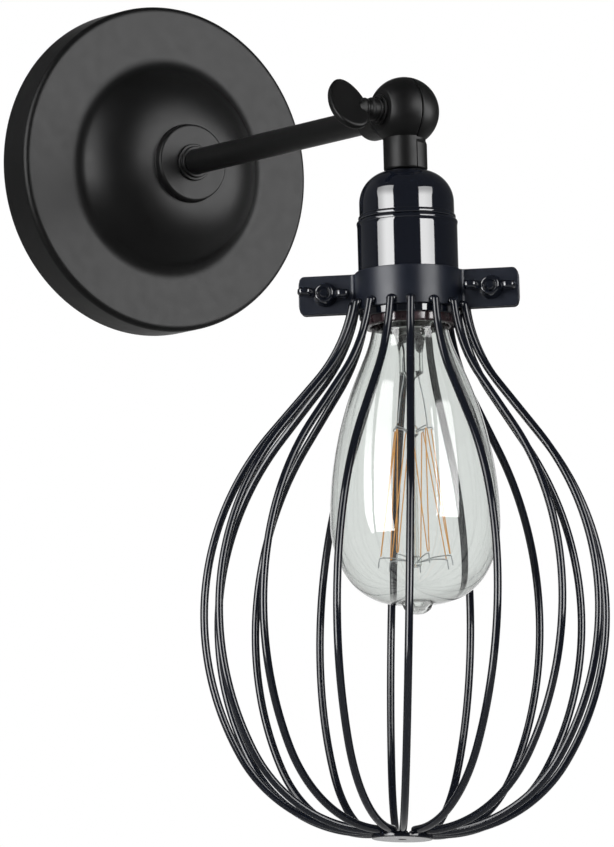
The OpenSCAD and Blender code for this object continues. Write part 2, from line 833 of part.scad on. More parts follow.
// The glass from its neck down to the tip, as a chain of tangent arcs set in by t
function glass_line(t) = let (
        side_c = [bulb_r - side_arc, belly_z],
        side_e = side_c + side_arc * [cos(side_turn), sin(side_turn)],
        slope_l = (side_e.x - bulb_neck_r - throat_arc * (1 - cos(side_turn))) / sin(side_turn),
        slope_e = side_e + slope_l * [-sin(side_turn), cos(side_turn)],
        throat_c = slope_e + throat_arc * [cos(side_turn), sin(side_turn)],
        rim_turn = asin((throat_c.y - bulb_rim_z) / throat_arc),
        belly_c = [bulb_r - belly_arc, belly_z],
        base_c = belly_c + (belly_arc - base_arc) * [cos(belly_turn), -sin(belly_turn)])
    concat(
        arc_pts(throat_c, throat_arc + t, 180 + rim_turn, 180 + side_turn, 8),
        arc_pts(side_c, side_arc - t, side_turn, 0, 16),
        arc_pts(belly_c, belly_arc - t, -4, -belly_turn, 6),
        arc_pts(base_c, base_arc - t, -belly_turn - 5, -90, 10));

module bulb_glass() {
    outer = glass_line(0);
    inner = glass_line(glass_t);
    count = len(inner) - 1;
    base_z = outer[len(outer) - 1].y;
    pip_turn = asin((base_z - bulb_tip_z - pip_r) / pip_r);
    color([0.85, 0.9, 0.88, 0.4]) in_head() rotate_extrude() polygon(concat(
        outer,
        arc_pts([0, bulb_tip_z + pip_r], pip_r, pip_turn, -90, 6),
        [[0, base_z + glass_t]],
        [for (i = [count:-1:0]) inner[i]]));
}

module bulb_cap() {
    top = bulb_z - 4.5;
    shoulder = 2.2;
    turns = 5;
    steps = turns * 8;
    drop = turns * thread_pitch;
    crest = bulb_cap_r - thread_wave;
    outside = [for (i = [0:steps]) let (d = drop * i / steps)
        [crest + wave(d), top - shoulder - d]];
    inside = [for (i = [steps:-1:0]) let (d = drop * i / steps)
        [crest - cap_wall + wave(d), top - shoulder - d]];
    color(steel) in_head() rotate_extrude() polygon(concat(
        [[7.6, top], [8.4, top]], outside,
        [[bulb_cap_r, bulb_rim_z], [bulb_cap_r - 0.6, bulb_rim_z]], inside,
        [[8, top - cap_wall], [7.6, top - cap_wall]]));
}

module bulb_cap_insulator() {
    color([0.05, 0.05, 0.06]) in_head() rotate_extrude() polygon([
        [0, bulb_z - 5.4], [7.5, bulb_z - 5.4], [7.5, bulb_z - 4.5], [8.3, bulb_z - 4.5],
        [4.6, bulb_z - 1], [0, bulb_z - 1]]);
}

module bulb_contact() {
    color(steel) in_head() translate([0, 0, bulb_z - 1]) cylinder(h = 1, r1 = 4.6, r2 = 3.6);
}

module bulb_stem() {
    color([0.85, 0.9, 0.88, 0.5]) in_head() {
        rotate_extrude() polygon([
            [0, bulb_rim_z + 1], [bulb_neck_r - glass_t - 1.2, bulb_rim_z + 1],
            [bulb_neck_r - glass_t - 1.2, bulb_rim_z], [6, bulb_rim_z - 6],
            [4.6, stem_z + 6], [4.6, stem_z], [stem_rod_r, stem_z - 1.5],
            [stem_rod_r, hook_low_z - 2], [0, hook_low_z - 2]]);
        for (z = [hook_top_z, hook_low_z]) translate([0, 0, z - 1.4])
            cylinder(h = 2.8, r = stem_knob_r);
    }
}

function ring_point(r, turn, z) = [r * cos(turn), r * sin(turn), z];

module bulb_supports() {
    pitch = 360 / hooks;
    color(steel) in_head() {
        for (i = [0:hooks - 1]) {
            low = ring_point(hook_low_r, pitch * i, hook_low_z + 1.5);
            lead([ring_point(stem_knob_r + 0.05, pitch * i, hook_low_z), low,
                low + ring_point(0.8, pitch * i, -3.5)], support_r, 6);
            lead([ring_point(stem_knob_r + 0.05, pitch * (i + 0.5), hook_top_z),
                ring_point(hook_top_r, pitch * (i + 0.5), hook_top_z + 1.5)], support_r, 6);
        }
        for (side = [-1, 1])
            lead([[side * 3.4, 0, stem_z - 0.8], [side * 6.6, 0, hook_top_z + 3]], support_r, 6);
    }
}

// The three points of a tight loop over a hook, between its neighbours on the zigzag
function loop_pts(before, hook, after) = let (
        across = 0.3 * unit(before - after))
    [hook + 0.9 * unit(before - hook) + across, hook, hook + 0.9 * unit(after - hook) - across];

module bulb_filament() {
    pitch = 180 / hooks;
    hook_pts = [for (i = [0:strands]) i % 2 == 0
        ? ring_point(hook_low_r - 0.2, pitch * i, hook_low_z + 2.05)
        : ring_point(hook_top_r - 0.5, pitch * i, hook_top_z + 0.8)];
    loops = [for (i = [1:strands - 2]) each loop_pts(hook_pts[i - 1], hook_pts[i], hook_pts[i + 1])];
    color([0.95, 0.6, 0.25]) in_head()
        lead(concat([hook_pts[0]], loops, [hook_pts[strands - 1]]), strand_r, 6);
}

// ---- clamp band ----

module band_frame() {
    in_head() rotate([0, 0, clamp_turn]) children();
}

// Plan of the half on the +Y side of the split: half ring, two ears and their bends
module half_band_plan() {
    intersection() {
        difference() {
            circle(band_out);
            circle(band_in);
        }
        translate([-band_out, ear_in]) square([2 * band_out, band_out]);
    }
    for (side = [0, 1]) mirror([side, 0]) {
        translate([band_in + 0.2, ear_in]) square([ear_reach - band_in - 0.2, band_t]);
        difference() {
            polygon([
                [band_in + 0.4, ear_in + 0.2], [bend_x, ear_in + 0.2], [bend_x, ear_out + bend_r],
                [bend_x * band_out / (band_out + bend_r),
                 (ear_out + bend_r) * band_out / (band_out + bend_r)]]);
            translate([bend_x, ear_out + bend_r]) circle(bend_r);
        }
    }
}

// Outline of the band seen square to the ears, with rounded corners
module band_outline() {
    across = 2 * ear_reach;
    square([across, band_h - 2 * ear_round], center = true);
    square([across - 2 * ear_round, band_h], center = true);
    for (x = [-1, 1]) for (z = [-1, 1])
        translate([x * (ear_reach - ear_round), z * (band_h / 2 - ear_round)]) circle(ear_round);
}

module half_band() {
    difference() {
        intersection() {
            translate([0, 0, band_low]) linear_extrude(band_h) half_band_plan();
            translate([0, far / 2, band_mid]) rotate([90, 0, 0]) linear_extrude(far) band_outline();
        }
        for (side = [-1, 1]) translate([side * bolt_x, far / 2, band_mid])
            rotate([90, 0, 0]) cylinder(h = far, r = bolt_r + thread_fit);
    }
}

module clamp_band_front() {
    color(navy) band_frame() rotate([0, 0, 180]) half_band();
}

module clamp_band_rear() {
    color(navy) band_frame() half_band();
}

module bolt_places() {
    for (side = [-1, 1]) translate([side * bolt_x, 0, band_mid]) children();
}

module clamp_bolts() {
    color(navy) band_frame() bolt_places() {
        outward(-ear_out - 0.5, bolt_end, bolt_r);
        translate([0, ear_out + bolt_head_h, 0]) rotate([90, 0, 0])
            hexagon(bolt_head_af, bolt_head_h);
    }
}

module wing_nut() {
    foot = ear_out + face_gap;
    translate([0, -foot, 0]) rotate([90, 0, 0]) difference() {
        union() {
            cylinder(h = wing_hub_h, r1 = wing_foot_d / 2, r2 = bolt_r + 1.5);
            translate([0, wing_t / 2, 0]) rotate([90, 0, 0]) linear_extrude(wing_t)
                for (side = [0, 1]) mirror([side, 0]) {
                    polygon([
                        [bolt_r + 0.6, 0.6], [wing_foot_d / 2 + 0.2, 0.6],
                        [wing_span / 2 - 0.3, wing_rise - wing_tip_r - 0.6],
                        [wing_span / 2 - wing_tip_r - 0.6, wing_rise - 0.15],
                        [bolt_r + 0.6, wing_hub_h - 1]]);
                    translate([wing_span / 2 - wing_tip_r, wing_rise - wing_tip_r])
                        circle(wing_tip_r);
                }
        }
        translate([0, 0, -1]) cylinder(h = wing_rise + 2, r = bolt_r + turn_fit);
    }
}

module wing_nut_left() {
    color(navy) band_frame() translate([-bolt_x, 0, band_mid]) rotate([0, 5, 0]) wing_nut();
}

module wing_nut_right() {
    color(navy) band_frame() translate([bolt_x, 0, band_mid]) rotate([0, 3, 0]) wing_nut();
}

// ---- cage ----

// A stretch of bent wire in the plane y = 0, about a centre in x and z
module bent(centre, r, from, to, thick = wire_r) {
    translate([centre.x, 0, centre.y]) rotate([90, 0, 0]) rotate([0, 0, from])
        rotate_extrude(angle = to - from) translate([r, 0]) circle(thick);
}

// Every second stretch is a hair thinner and runs a little way into its neighbours
module wire_shape() {
    upper_c = [cage_r - upper_arc, belt_z];
    upper_e = upper_c + upper_arc * [cos(upper_turn), sin(upper_turn)];
    flank_e = upper_e + flank_l * [-sin(upper_turn), cos(upper_turn)];
    neck_c = flank_e + neck_arc * [cos(upper_turn), sin(upper_turn)];
    neck_e = neck_c - neck_arc * [cos(neck_lean), sin(neck_lean)];
    lower_c = [cage_r - lower_arc, belt_z];
    bottom_c = lower_c + (lower_arc - bottom_arc) * [cos(lower_turn), -sin(lower_turn)];
    bent(upper_c, upper_arc, 0, upper_turn);
    translate([upper_e.x, 0, upper_e.y]) rotate([0, -upper_turn, 0])
        translate([0, 0, -wire_lap]) cylinder(h = flank_l + 2 * wire_lap, r = wire_thin);
    bent(neck_c, neck_arc, 180 + neck_lean, 180 + upper_turn);
    translate([neck_e.x, 0, neck_e.y]) rotate([0, -neck_lean, 0])
        translate([0, 0, -wire_lap])
            cylinder(h = wire_tip + wire_lap, r1 = wire_thin, r2 = wire_r * 0.6);
    bent(lower_c, lower_arc, -lower_turn - 0.2, 0.2, wire_thin);
    bent(bottom_c, bottom_arc, -90, -lower_turn);
    translate([wire_end_r, 0, foot_z]) rotate([0, 90, 0])
        cylinder(h = bottom_c.x - wire_end_r + wire_lap, r = wire_thin);
}

module band_envelope() {
    rotate([0, 0, clamp_turn]) translate([0, 0, band_low]) linear_extrude(band_h) {
        circle(band_out);
        half_band_plan();
        rotate([0, 0, 180]) half_band_plan();
    }
}

// The wires' own frame, which leans a little in the band, about its middle at the welds
module in_cage() {
    translate([0, 0, weld_z]) rotate([0, 0, cage_lean_turn]) rotate([0, cage_lean, 0])
        rotate([0, 0, -cage_lean_turn]) translate([0, 0, -weld_z]) children();
}

module cage_wire(i) {
    turn = wire_turn + 360 / wires * (i - 1) + wire_uneven[(i - 1) % len(wire_uneven)];
    color(navy) in_head() difference() {
        in_cage() rotate([0, 0, turn]) wire_shape();
        band_envelope();
        in_cage() translate([0, 0, disc_top - disc_t]) cylinder(h = disc_t, r = disc_d / 2);
    }
}

module cage_disc() {
    color(navy) in_head() in_cage() ring_at(disc_top - disc_t, disc_t, disc_d / 2, 1.5);
}

canopy();
mounting_bracket();
earth_screw();
terminal_block();
terminal_screws();
live_lead();
neutral_lead();
earth_lead();
lead_bush();
arm_collar();
locknut_washer();
arm_locknut();
arm_tube();
knuckle_arm_half();
thumb_screw();
spring_washer();
flat_washer();
knuckle_lamp_half();
holder_nipple();
nipple_nut();
holder_cap();
holder_ring();
holder_shell();
holder_insulator();
screw_shell();
centre_contact();
holder_terminals();
holder_live_lead();
holder_neutral_lead();
bulb_glass();
bulb_cap();
bulb_cap_insulator();
bulb_contact();
bulb_stem();
bulb_supports();
bulb_filament();
clamp_band_front();
clamp_band_rear();
clamp_bolts();
wing_nut_left();
wing_nut_right();
cage_disc();
for (i = [1:wires])
    cage_wire(i);
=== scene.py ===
"""Finished surfaces, materials and studio for the cage wall light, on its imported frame.

All shapes are worked out in millimetres, in the row's own axes (+Z up, the wall at y = 0,
the light standing out towards -Y), and are turned into metres as they enter a mesh.
"""

import json
import math
from types import SimpleNamespace

import bmesh
import bpy
import numpy as np
from bpy.props import FloatProperty, FloatVectorProperty, IntProperty, PointerProperty
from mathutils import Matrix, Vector


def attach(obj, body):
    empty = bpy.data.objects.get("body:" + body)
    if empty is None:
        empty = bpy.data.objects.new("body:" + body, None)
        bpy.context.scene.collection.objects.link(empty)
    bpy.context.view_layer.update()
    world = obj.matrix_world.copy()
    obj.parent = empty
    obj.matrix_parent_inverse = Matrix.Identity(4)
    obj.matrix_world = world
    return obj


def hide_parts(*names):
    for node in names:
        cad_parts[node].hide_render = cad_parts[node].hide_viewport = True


bl_info = {
    "name": "Cage wall light",
    "version": (1, 0, 0),
    "blender": (4, 5, 0),
    "location": "View3D > Sidebar > Wall light",
    "description": "Dresses the packed wall light with finished surfaces, materials and a studio",
    "category": "Object",
}

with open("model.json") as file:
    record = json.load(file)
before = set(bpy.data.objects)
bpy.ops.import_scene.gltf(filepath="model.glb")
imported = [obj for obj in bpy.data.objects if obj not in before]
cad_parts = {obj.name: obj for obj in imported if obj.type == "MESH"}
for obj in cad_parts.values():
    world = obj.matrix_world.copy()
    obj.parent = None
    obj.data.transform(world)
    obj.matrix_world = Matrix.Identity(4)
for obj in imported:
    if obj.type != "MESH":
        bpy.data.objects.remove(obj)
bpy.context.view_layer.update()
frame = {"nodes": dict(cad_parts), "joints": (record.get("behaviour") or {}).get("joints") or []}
PIVOT = 1000 * np.array(
    [j["pos_m"] for j in frame["joints"] if j["name"] == "head_tilt"][0], float
)


# ---------------------------------------------------------------- properties


def length(name, description, mm):
    """A length property, given in millimetres and kept in metres."""
    return FloatProperty(
        name=name,
        description=description,
        default=mm / 1000,
        min=0.0,
        precision=5,
        unit="LENGTH",
        subtype="DISTANCE",
    )


def turn(name, description, degrees):
    """An angle property, given in degrees."""
    return FloatProperty(
        name=name,
        description=description,
        default=math.radians(degrees),
        unit="ROTATION",
        subtype="ANGLE",
    )


def tint(name, description, colour):
    """A colour property, in linear values."""
    return FloatVectorProperty(
        name=name,
        description=description,
        default=colour,
        size=3,
        min=0.0,
        max=1.0,
        subtype="COLOR",
    )


def factor(name, description, value):
    """A number from 0 to 1."""
    return FloatProperty(
        name=name,
        description=description,
        default=value,
        min=0.0,
        max=1.0,
        subtype="FACTOR",
    )


class WallSideSizes(bpy.types.PropertyGroup):
    """Sizes of the canopy, its collar and the arm."""

    canopy_r: length("Canopy radius", "Half the canopy's width", 65)
    rim_depth: length("Rim depth", "From the wall to the flat front", 17.5)
    rim_round: length("Rim rounding", "Rounded front edge of the canopy", 2.5)
    sheet_t: length("Sheet", "Thickness of the spun sheet", 1.2)
    dome_r: length("Dome radius", "Half the dome's width at its hollow foot's outer edge", 45)
    dome_h: length("Dome height", "Dome over the flat front", 16.5)
    dome_foot: length("Dome foot", "Hollow rounding at the dome's foot", 7.5)
    dome_flank: turn("Dome flank", "Steepest slope of the dome", 56)
    boss_r: length("Boss radius", "Middle boss at its foot", 15.5)
    boss_top_r: length("Boss top radius", "Flat top of the middle boss", 14.2)
    boss_h: length("Boss height", "Boss over the dome", 3.5)
    boss_edge: length("Boss edge", "Rounded edge of the boss", 1)
    arm_r: length("Arm radius", "Half the arm tube's diameter", 5)
    arm_wall: length("Arm wall", "Wall of the arm tube", 1)
    collar_r: length("Collar radius", "Larger step of the collar", 7.3)
    collar_step_r: length("Collar step radius", "Smaller step of the collar", 6.2)
    collar_step_h: length("Collar step height", "Height of each step", 1.3)


class KnuckleSizes(bpy.types.PropertyGroup):
    """Sizes of the ball knuckle and its thumb screw."""

    ball_r: length("Ball radius", "Half the knuckle ball's width", 13.3)
    neck_r: length("Neck radius", "Half the width of both necks", 8.3)
    neck_l: length("Neck reach", "From the ball's centre to a neck's end", 22.8)
    neck_bevel: length("Neck bevel", "Bevel at the ends of the necks", 0.9)
    seam: length("Seam", "Gap between the two halves", 0.4)
    flat_x: length("Screw flat", "Distance of the flat under the washer", 10.7)
    washer_r: length("Washer radius", "Flat washer", 5.8)
    spring_r: length("Spring washer radius", "Split spring washer", 4.8)
    screw_r: length("Screw radius", "Shank of the thumb screw", 2.5)
    hub_r: length("Hub radius", "Hub of the thumb screw", 4.4)
    hub_l: length("Hub length", "Hub from washer to paddle", 5.2)
    paddle_l: length("Paddle length", "Paddle along the screw", 16)
    paddle_w: length("Paddle width", "Paddle across the screw", 23.5)
    paddle_t: length("Paddle thickness", "At the paddle's rim", 3)
    paddle_turn: turn("Paddle turn", "Paddle's tilt from upright", 33)
    paddle_lift: length("Paddle lift", "Paddle's middle off the screw's axis", 1.4)
    paddle_taper: factor("Paddle taper", "How much narrower the paddle's upper end is", 0.15)
    head_lean: turn("Head lean", "Resting lean of the lamp head out from the wall", 2.7)


class HolderSizes(bpy.types.PropertyGroup):
    """Sizes of the lampholder and the lamp."""

    cap_r: length("Cap radius", "Half the rounded cap's width", 18)
    cap_round: length("Cap shoulder", "Radius of the cap's shoulder", 12.4)
    cap_h: length("Cap height", "From the neck to the bead", 17.2)
    sheet_t: length("Sheet", "Thickness of the holder's sheet", 1)
    ring_r: length("Bead radius", "Bead between cap and shell", 18.5)
    ring_h: length("Bead height", "Height of the bead", 1.8)
    shell_r: length("Shell radius", "Half the shell's width", 19)
    shell_l: length("Shell length", "From the bead to the open end", 37.7)
    shell_round: length("Shell roll", "Rolled shoulder of the shell", 1.2)
    insulator_bore_r: length("Insulator bore", "Inner radius of the brown cup", 14.8)
    insulator_lip: length("Insulator lip", "Brown rim under the shell", 3.3)
    lamp_r: length("Lamp radius", "Half the lamp's widest width", 32)
    lamp_l: length("Lamp length", "From contact to tip", 140)
    lamp_neck_r: length("Lamp neck", "Radius of the glass at its cap", 13.5)
    lamp_cap_r: length("Lamp cap radius", "Screw cap over its thread", 13.1)
    lamp_cap_l: length("Lamp cap length", "From contact to glass", 27)
    lamp_seat: length("Lamp seat", "Contact under the knuckle's neck", 28.9)
    glass_t: length("Glass", "Thickness of the glass", 0.7)
    hook_top_r: length("Upper hooks", "Radius of the upper filament hooks", 7.5)
    hook_low_r: length("Lower hooks", "Radius of the lower filament hooks", 13.6)
    strand_r: length("Strand radius", "Half the filament's thickness", 0.22)


class GuardSizes(bpy.types.PropertyGroup):
    """Sizes of the clamp band and the wire guard."""

    band_h: length("Band height", "Height of the clamp band", 14.8)
    band_t: length("Band sheet", "Thickness of the band", 1.2)
    band_gap: length("Band gap", "Room between shell and band", 0.1)
    band_up: length("Band lift", "Band's lower edge over the shell's end", 2.9)
    ear_reach: length("Ear reach", "From the axis to an ear's tip", 41.5)
    ear_gap: length("Ear gap", "Gap between the paired ears", 2)
    ear_round: length("Ear rounding", "Rounded corners of the ears", 2)
    bend_r: length("Ear bend", "Inside bend from band to ear", 2)
    bolt_x: length("Bolt place", "From the axis to a bolt", 31.5)
    bolt_r: length("Bolt radius", "Half the bolts' diameter", 2)
    clamp_turn: turn("Clamp turn", "Direction of the right-hand ears", -40)
    wing_span: length("Wing span", "Wing nut from tip to tip", 20)
    wing_foot_r: length("Wing nut foot", "Radius of the wing nut's foot", 4.7)
    wing_hub_h: length("Wing nut hub", "Height of the wing nut's hub", 5)
    wing_t: length("Wing thickness", "Thickness of the wings", 3)
    wing_rise: length("Wing rise", "Wings over the top of the hub", 2.9)
    wires: IntProperty(
        name="Wires", description="Wires of the guard", default=16, min=16, max=16
    )
    wire_r: length("Wire radius", "Half the wire's diameter", 1.5)
    guard_r: length("Guard radius", "Wire's centre line at the widest place", 75.5)
    upper_arc: length("Upper arc", "Bend over the widest place", 107.4)
    upper_turn: turn("Upper turn", "Turn of the upper bend", 39.4)
    neck_arc: length("Neck arc", "Hollow bend under the band", 60.5)
    neck_lean: turn("Neck lean", "Lean of the wire at the band", 9)
    lower_arc: length("Lower arc", "Bend under the widest place", 109)
    lower_turn: turn("Lower turn", "Turn of the lower bend", 30)
    bottom_arc: length("Bottom arc", "Bend into the bottom", 54.5)
    weld_rise: length("Weld rise", "Wire's overlap on the band", 1.5)
    wire_turn: turn("First wire", "Direction of the first wire", -119.4)
    guard_lean: turn("Guard lean", "Lean of the wires' common axis from the holder's", 2.3)
    guard_lean_turn: turn("Guard lean direction", "Direction of the axis it leans about", -32)
    disc_r: length("Disc radius", "Bottom disc", 11.5)
    disc_t: length("Disc thickness", "Bottom disc", 1.6)


class Finishes(bpy.types.PropertyGroup):
    """Colours and gloss of the light's finishes."""

    matt_black: tint("Matt black", "Powder coat of canopy, arm and knuckle", (0.0042, 0.0042, 0.0043))
    matt_rough: factor("Matt roughness", "Roughness of the powder coat", 0.4)
    enamel: tint("Enamel", "Blue-black enamel of holder and guard", (0.0075, 0.0095, 0.016))
    enamel_rough: factor("Enamel roughness", "Roughness of the enamel", 0.045)
    band_rough: factor("Band roughness", "Roughness of the clamp band", 0.34)
    insulator: tint("Insulator", "Reddish-brown moulding", (0.031, 0.016, 0.019))
    filament: tint("Filament", "Golden filament", (0.85, 0.42, 0.12))
    glass: tint("Glass", "Tint of the blown glass", (0.83, 0.85, 0.835))
    sleeve_light: tint("Light sleeve", "Neutral lead's sleeve", (0.78, 0.78, 0.74))
    sleeve_earth: tint("Earth sleeve", "Earth lead's sleeve", (0.05, 0.26, 0.07))


class StudioSettings(bpy.types.PropertyGroup):
    """Camera and light of the studio."""

    view_turn: turn("View azimuth", "Camera's direction round the light", -31.9)
    view_rise: turn("View elevation", "Camera's height angle", -6.5)
    view_range: length("Camera distance", "From camera to its aim", 3044)
    lens_mm: FloatProperty(
        name="Lens", description="Focal length in millimetres", default=469.06, min=1.0
    )
    panel_gloss: FloatProperty(
        name="Panel gloss", description="The two panels' strength in gloss", default=19.0, min=0.0
    )
    side_turn: turn("Side light azimuth", "The canopy's side light, round from the camera", 78)
    side_rise: turn("Side light elevation", "Height angle of the side light", -4)
    side_size: turn("Side light size", "How wide the side light looks from the canopy", 50)
    side_gloss: FloatProperty(
        name="Side light", description="The side light's strength in gloss", default=7.4, min=0.0
    )
    panel_light: FloatProperty(
        name="Panel light", description="Strength that lights the object", default=1.6, min=0.0
    )
    room_light: FloatProperty(
        name="Room light", description="Even light of the room", default=0.55, min=0.0
    )


def sizes(name):
    """A group's lengths in millimetres and its angles in degrees, under the same names."""
    group = getattr(bpy.context.scene, "wall_light_" + name)
    found = {}
    for key, prop in group.bl_rna.properties.items():
        if prop.type in {"FLOAT", "INT"} and key in type(group).__annotations__:
            value = getattr(group, key)
            if prop.unit == "LENGTH":
                value *= 1000
            elif prop.unit == "ROTATION":
                value = math.degrees(value)
            found[key] = value
    return SimpleNamespace(**found)


# ---------------------------------------------------------------- curves


def arc(centre, radius, start, stop, count):
    """Points of an arc: centre + radius (cos a, sin a), a from start to stop in degrees."""
    a = np.radians(np.linspace(start, stop, count))
    return np.column_stack([centre[0] + radius * np.cos(a), centre[1] + radius * np.sin(a)])


SHORT_FLAT = 0.5  # a flat up to this long, in mm, gets no points of its own
FLAT_INSET = 0.12  # distance in mm of a flat's own points from the corners


def soften(corners, closed=True, steps=6):
    """A polyline with rounded corners. corners is a list of (x, y, r).

    A corner P with unit directions u and v to its neighbours gets the arc of radius r that
    touches both sides at P + t u and P + t v, with t = r / tan(h) and h half the angle
    between u and v. Its centre is P + r / sin(h) along u + v. Straight stretches get a point
    near each end, so that the shading of the flats stays flat.
    """
    pts = np.array([c[:2] for c in corners], float)
    radii = np.array([c[2] for c in corners], float)
    n = len(pts)
    pieces = []
    for i in range(n):
        p = pts[i]
        if (not closed and i in (0, n - 1)) or radii[i] <= 0:
            pieces.append(p[None])
            continue
        u, v = pts[i - 1] - p, pts[(i + 1) % n] - p
        lu, lv = np.linalg.norm(u), np.linalg.norm(v)
        u, v = u / lu, v / lv
        half = 0.5 * math.acos(np.clip(u @ v, -1, 1))
        t = min(radii[i] / math.tan(half), 0.49 * lu, 0.49 * lv)
        r = t * math.tan(half)
        mid = (u + v) / np.linalg.norm(u + v)
        c = p + mid * r / math.sin(half)
        a = p + u * t - c
        b = p + v * t - c
        sweep = math.acos(np.clip(a @ b / r / r, -1, 1))
        k = np.linspace(0, 1, steps + 1)[:, None]
        pieces.append(c + (np.sin((1 - k) * sweep) * a + np.sin(k * sweep) * b) / math.sin(sweep))
    out = []
    for i, piece in enumerate(pieces):
        out.append(piece)
        if not closed and i == n - 1:
            break
        a, b = piece[-1], pieces[(i + 1) % n][0]
        gap = np.linalg.norm(b - a)
        if gap > SHORT_FLAT:
            k = min(FLAT_INSET / gap, 0.2)
            out.append(np.array([a + (b - a) * k, b - (b - a) * k]))
    return np.concatenate(out)


def ring_section(inner, outer, low, high, rounds, steps):
    """Closed (r, h) section of a plain ring. rounds has its four corners' radii, in the order
    inner low, outer low, outer high, inner high."""
    corners = ((inner, low), (outer, low), (outer, high), (inner, high))
    return soften([(*c, r) for c, r in zip(corners, rounds)], steps=steps)


def grid_quads(rows, cols, wrap_rows=False, wrap_cols=True):
    """Quads of a grid of rows x cols points, in row order."""
    i = np.arange(rows if wrap_rows else rows - 1)[:, None]
    j = np.arange(cols if wrap_cols else cols - 1)[None, :]
    i2, j2 = (i + 1) % rows, (j + 1) % cols
    quads = np.stack(
        np.broadcast_arrays(i * cols + j, i * cols + j2, i2 * cols + j2, i2 * cols + j), -1
    )
    return quads.reshape(-1, 4)


UPRIGHT = np.eye(3)
OUT_OF_WALL = np.array([[1, 0, 0], [0, 0, 1], [0, -1, 0]], float)
TO_LEFT = np.array([[0, 1, 0], [0, 0, 1], [-1, 0, 0]], float)


def turned(profile, axes=UPRIGHT, origin=(0, 0, 0), count=128, closed=True, span=(0, 360)):
    """A turned surface: origin + r (cos a X + sin a Y) + h Z for the profile's (r, h)."""
    profile = np.asarray(profile, float)
    whole = abs(span[1] - span[0]) == 360
    a = np.radians(np.linspace(span[0], span[1], count, endpoint=not whole))
    r, h = profile[:, :1], profile[:, 1:2]
    x, y, z = axes
    pts = (
        (r * np.cos(a))[..., None] * x
        + (r * np.sin(a))[..., None] * y
        + (h + 0 * a)[..., None] * z
        + np.asarray(origin, float)
    )
    quads = grid_quads(len(profile), count, wrap_rows=closed, wrap_cols=whole)
    return pts.reshape(-1, 3), quads


def tube(path, radius, side, count=16):
    """A tube along a path. Its ring at p is p + r (cos a n + sin a b), where t is the path's
    direction, b = t x side and n = b x t, both made unit length."""
    path = np.asarray(path, float)
    radius = np.broadcast_to(np.asarray(radius, float), len(path))
    t = np.gradient(path, axis=0)
    t /= np.linalg.norm(t, axis=1, keepdims=True)
    b = np.cross(t, np.broadcast_to(side, path.shape))
    b /= np.linalg.norm(b, axis=1, keepdims=True)
    n = np.cross(b, t)
    a = np.linspace(0, 2 * np.pi, count, endpoint=False)
    ring = np.cos(a)[:, None] * n[:, None] + np.sin(a)[:, None] * b[:, None]
    pts = path[:, None] + radius[:, None, None] * ring
    return pts.reshape(-1, 3), grid_quads(len(path), count)


def round_ends(path, radius, steps=5):
    """Carries a path on by a half ball at both ends; returns it with a radius per point.

    The points lie at radius sin(a) past an end, and their rings have radius cos(a)."""
    path = np.asarray(path, float)
    a = np.linspace(0, np.pi / 2, steps + 1)[1:]
    out, ring = radius * np.sin(a)[:, None], radius * np.cos(a)
    before, after = path[0] - path[1], path[-1] - path[-2]
    before /= np.linalg.norm(before)
    after /= np.linalg.norm(after)
    radii = np.concatenate([ring[::-1], np.full(len(path), float(radius)), ring])
    path = np.concatenate([(path[0] + out * before)[::-1], path, path[-1] + out * after])
    return path, np.maximum(radii, 1e-5)


def plate(outline, thickness, edge, dish=0.0):
    """A flat plate with rounded edges: the outline, scaled about its middle, at heights from
    -thickness/2 to +thickness/2. The scale loses edge (1 - cos a) at the rim, where the height
    is (thickness/2 - edge) sign a + edge sin a, and the faces sink by dish (1 - s^2)^2."""
    outline = np.asarray(outline, float)
    middle = outline.mean(0)
    rel = outline - middle
    reach = np.linalg.norm(rel, axis=1).mean()
    a = np.radians(np.linspace(-90, 90, 9))
    face = np.array([0, 0.35, 0.65, 0.85])
    scale = np.concatenate([face, 1 - edge * (1 - np.cos(a)) / reach, face[::-1]])
    flat = thickness / 2
    low = -flat + dish * (1 - face**2) ** 2
    rim = (flat - edge) * np.sign(a) + edge * np.sin(a)
    height = np.concatenate([low, rim, -low[::-1]])
    pts = np.empty((len(scale), len(outline), 3))
    pts[..., :2] = middle + scale[:, None, None] * rel
    pts[..., 2] = height[:, None]
    return pts.reshape(-1, 3), grid_quads(len(scale), len(outline))


def blob(centre, radii, axes=UPRIGHT, count=20):
    """An ellipsoid: centre + a cos u cos v X + b cos u sin v Y + c sin u Z."""
    u = np.radians(np.linspace(-90, 90, count // 2 + 1))[:, None]
    v = np.linspace(0, 2 * np.pi, count, endpoint=False)[None]
    pts = (
        (radii[0] * np.cos(u) * np.cos(v))[..., None] * axes[0]
        + (radii[1] * np.cos(u) * np.sin(v))[..., None] * axes[1]
        + (radii[2] * np.sin(u) + 0 * v)[..., None] * axes[2]
    )
    return (pts + np.asarray(centre, float)).reshape(-1, 3), grid_quads(count // 2 + 1, count)


def placed(shell, axes=UPRIGHT, origin=(0, 0, 0)):
    """A shell turned so that its own x, y and z lie along the three axes, then moved."""
    return shell[0] @ np.asarray(axes, float) + np.asarray(origin, float), shell[1]


def about_z(degrees):
    """Axes turned by an angle about the upright."""
    a = math.radians(degrees)
    return np.array([[math.cos(a), math.sin(a), 0], [-math.sin(a), math.cos(a), 0], [0, 0, 1]])


def leaning(degrees):
    """Axes turned by an angle about +Y, from the upright towards +X."""
    a = math.radians(degrees)
    return np.array([[math.cos(a), 0, -math.sin(a)], [0, 1, 0], [math.sin(a), 0, math.cos(a)]])


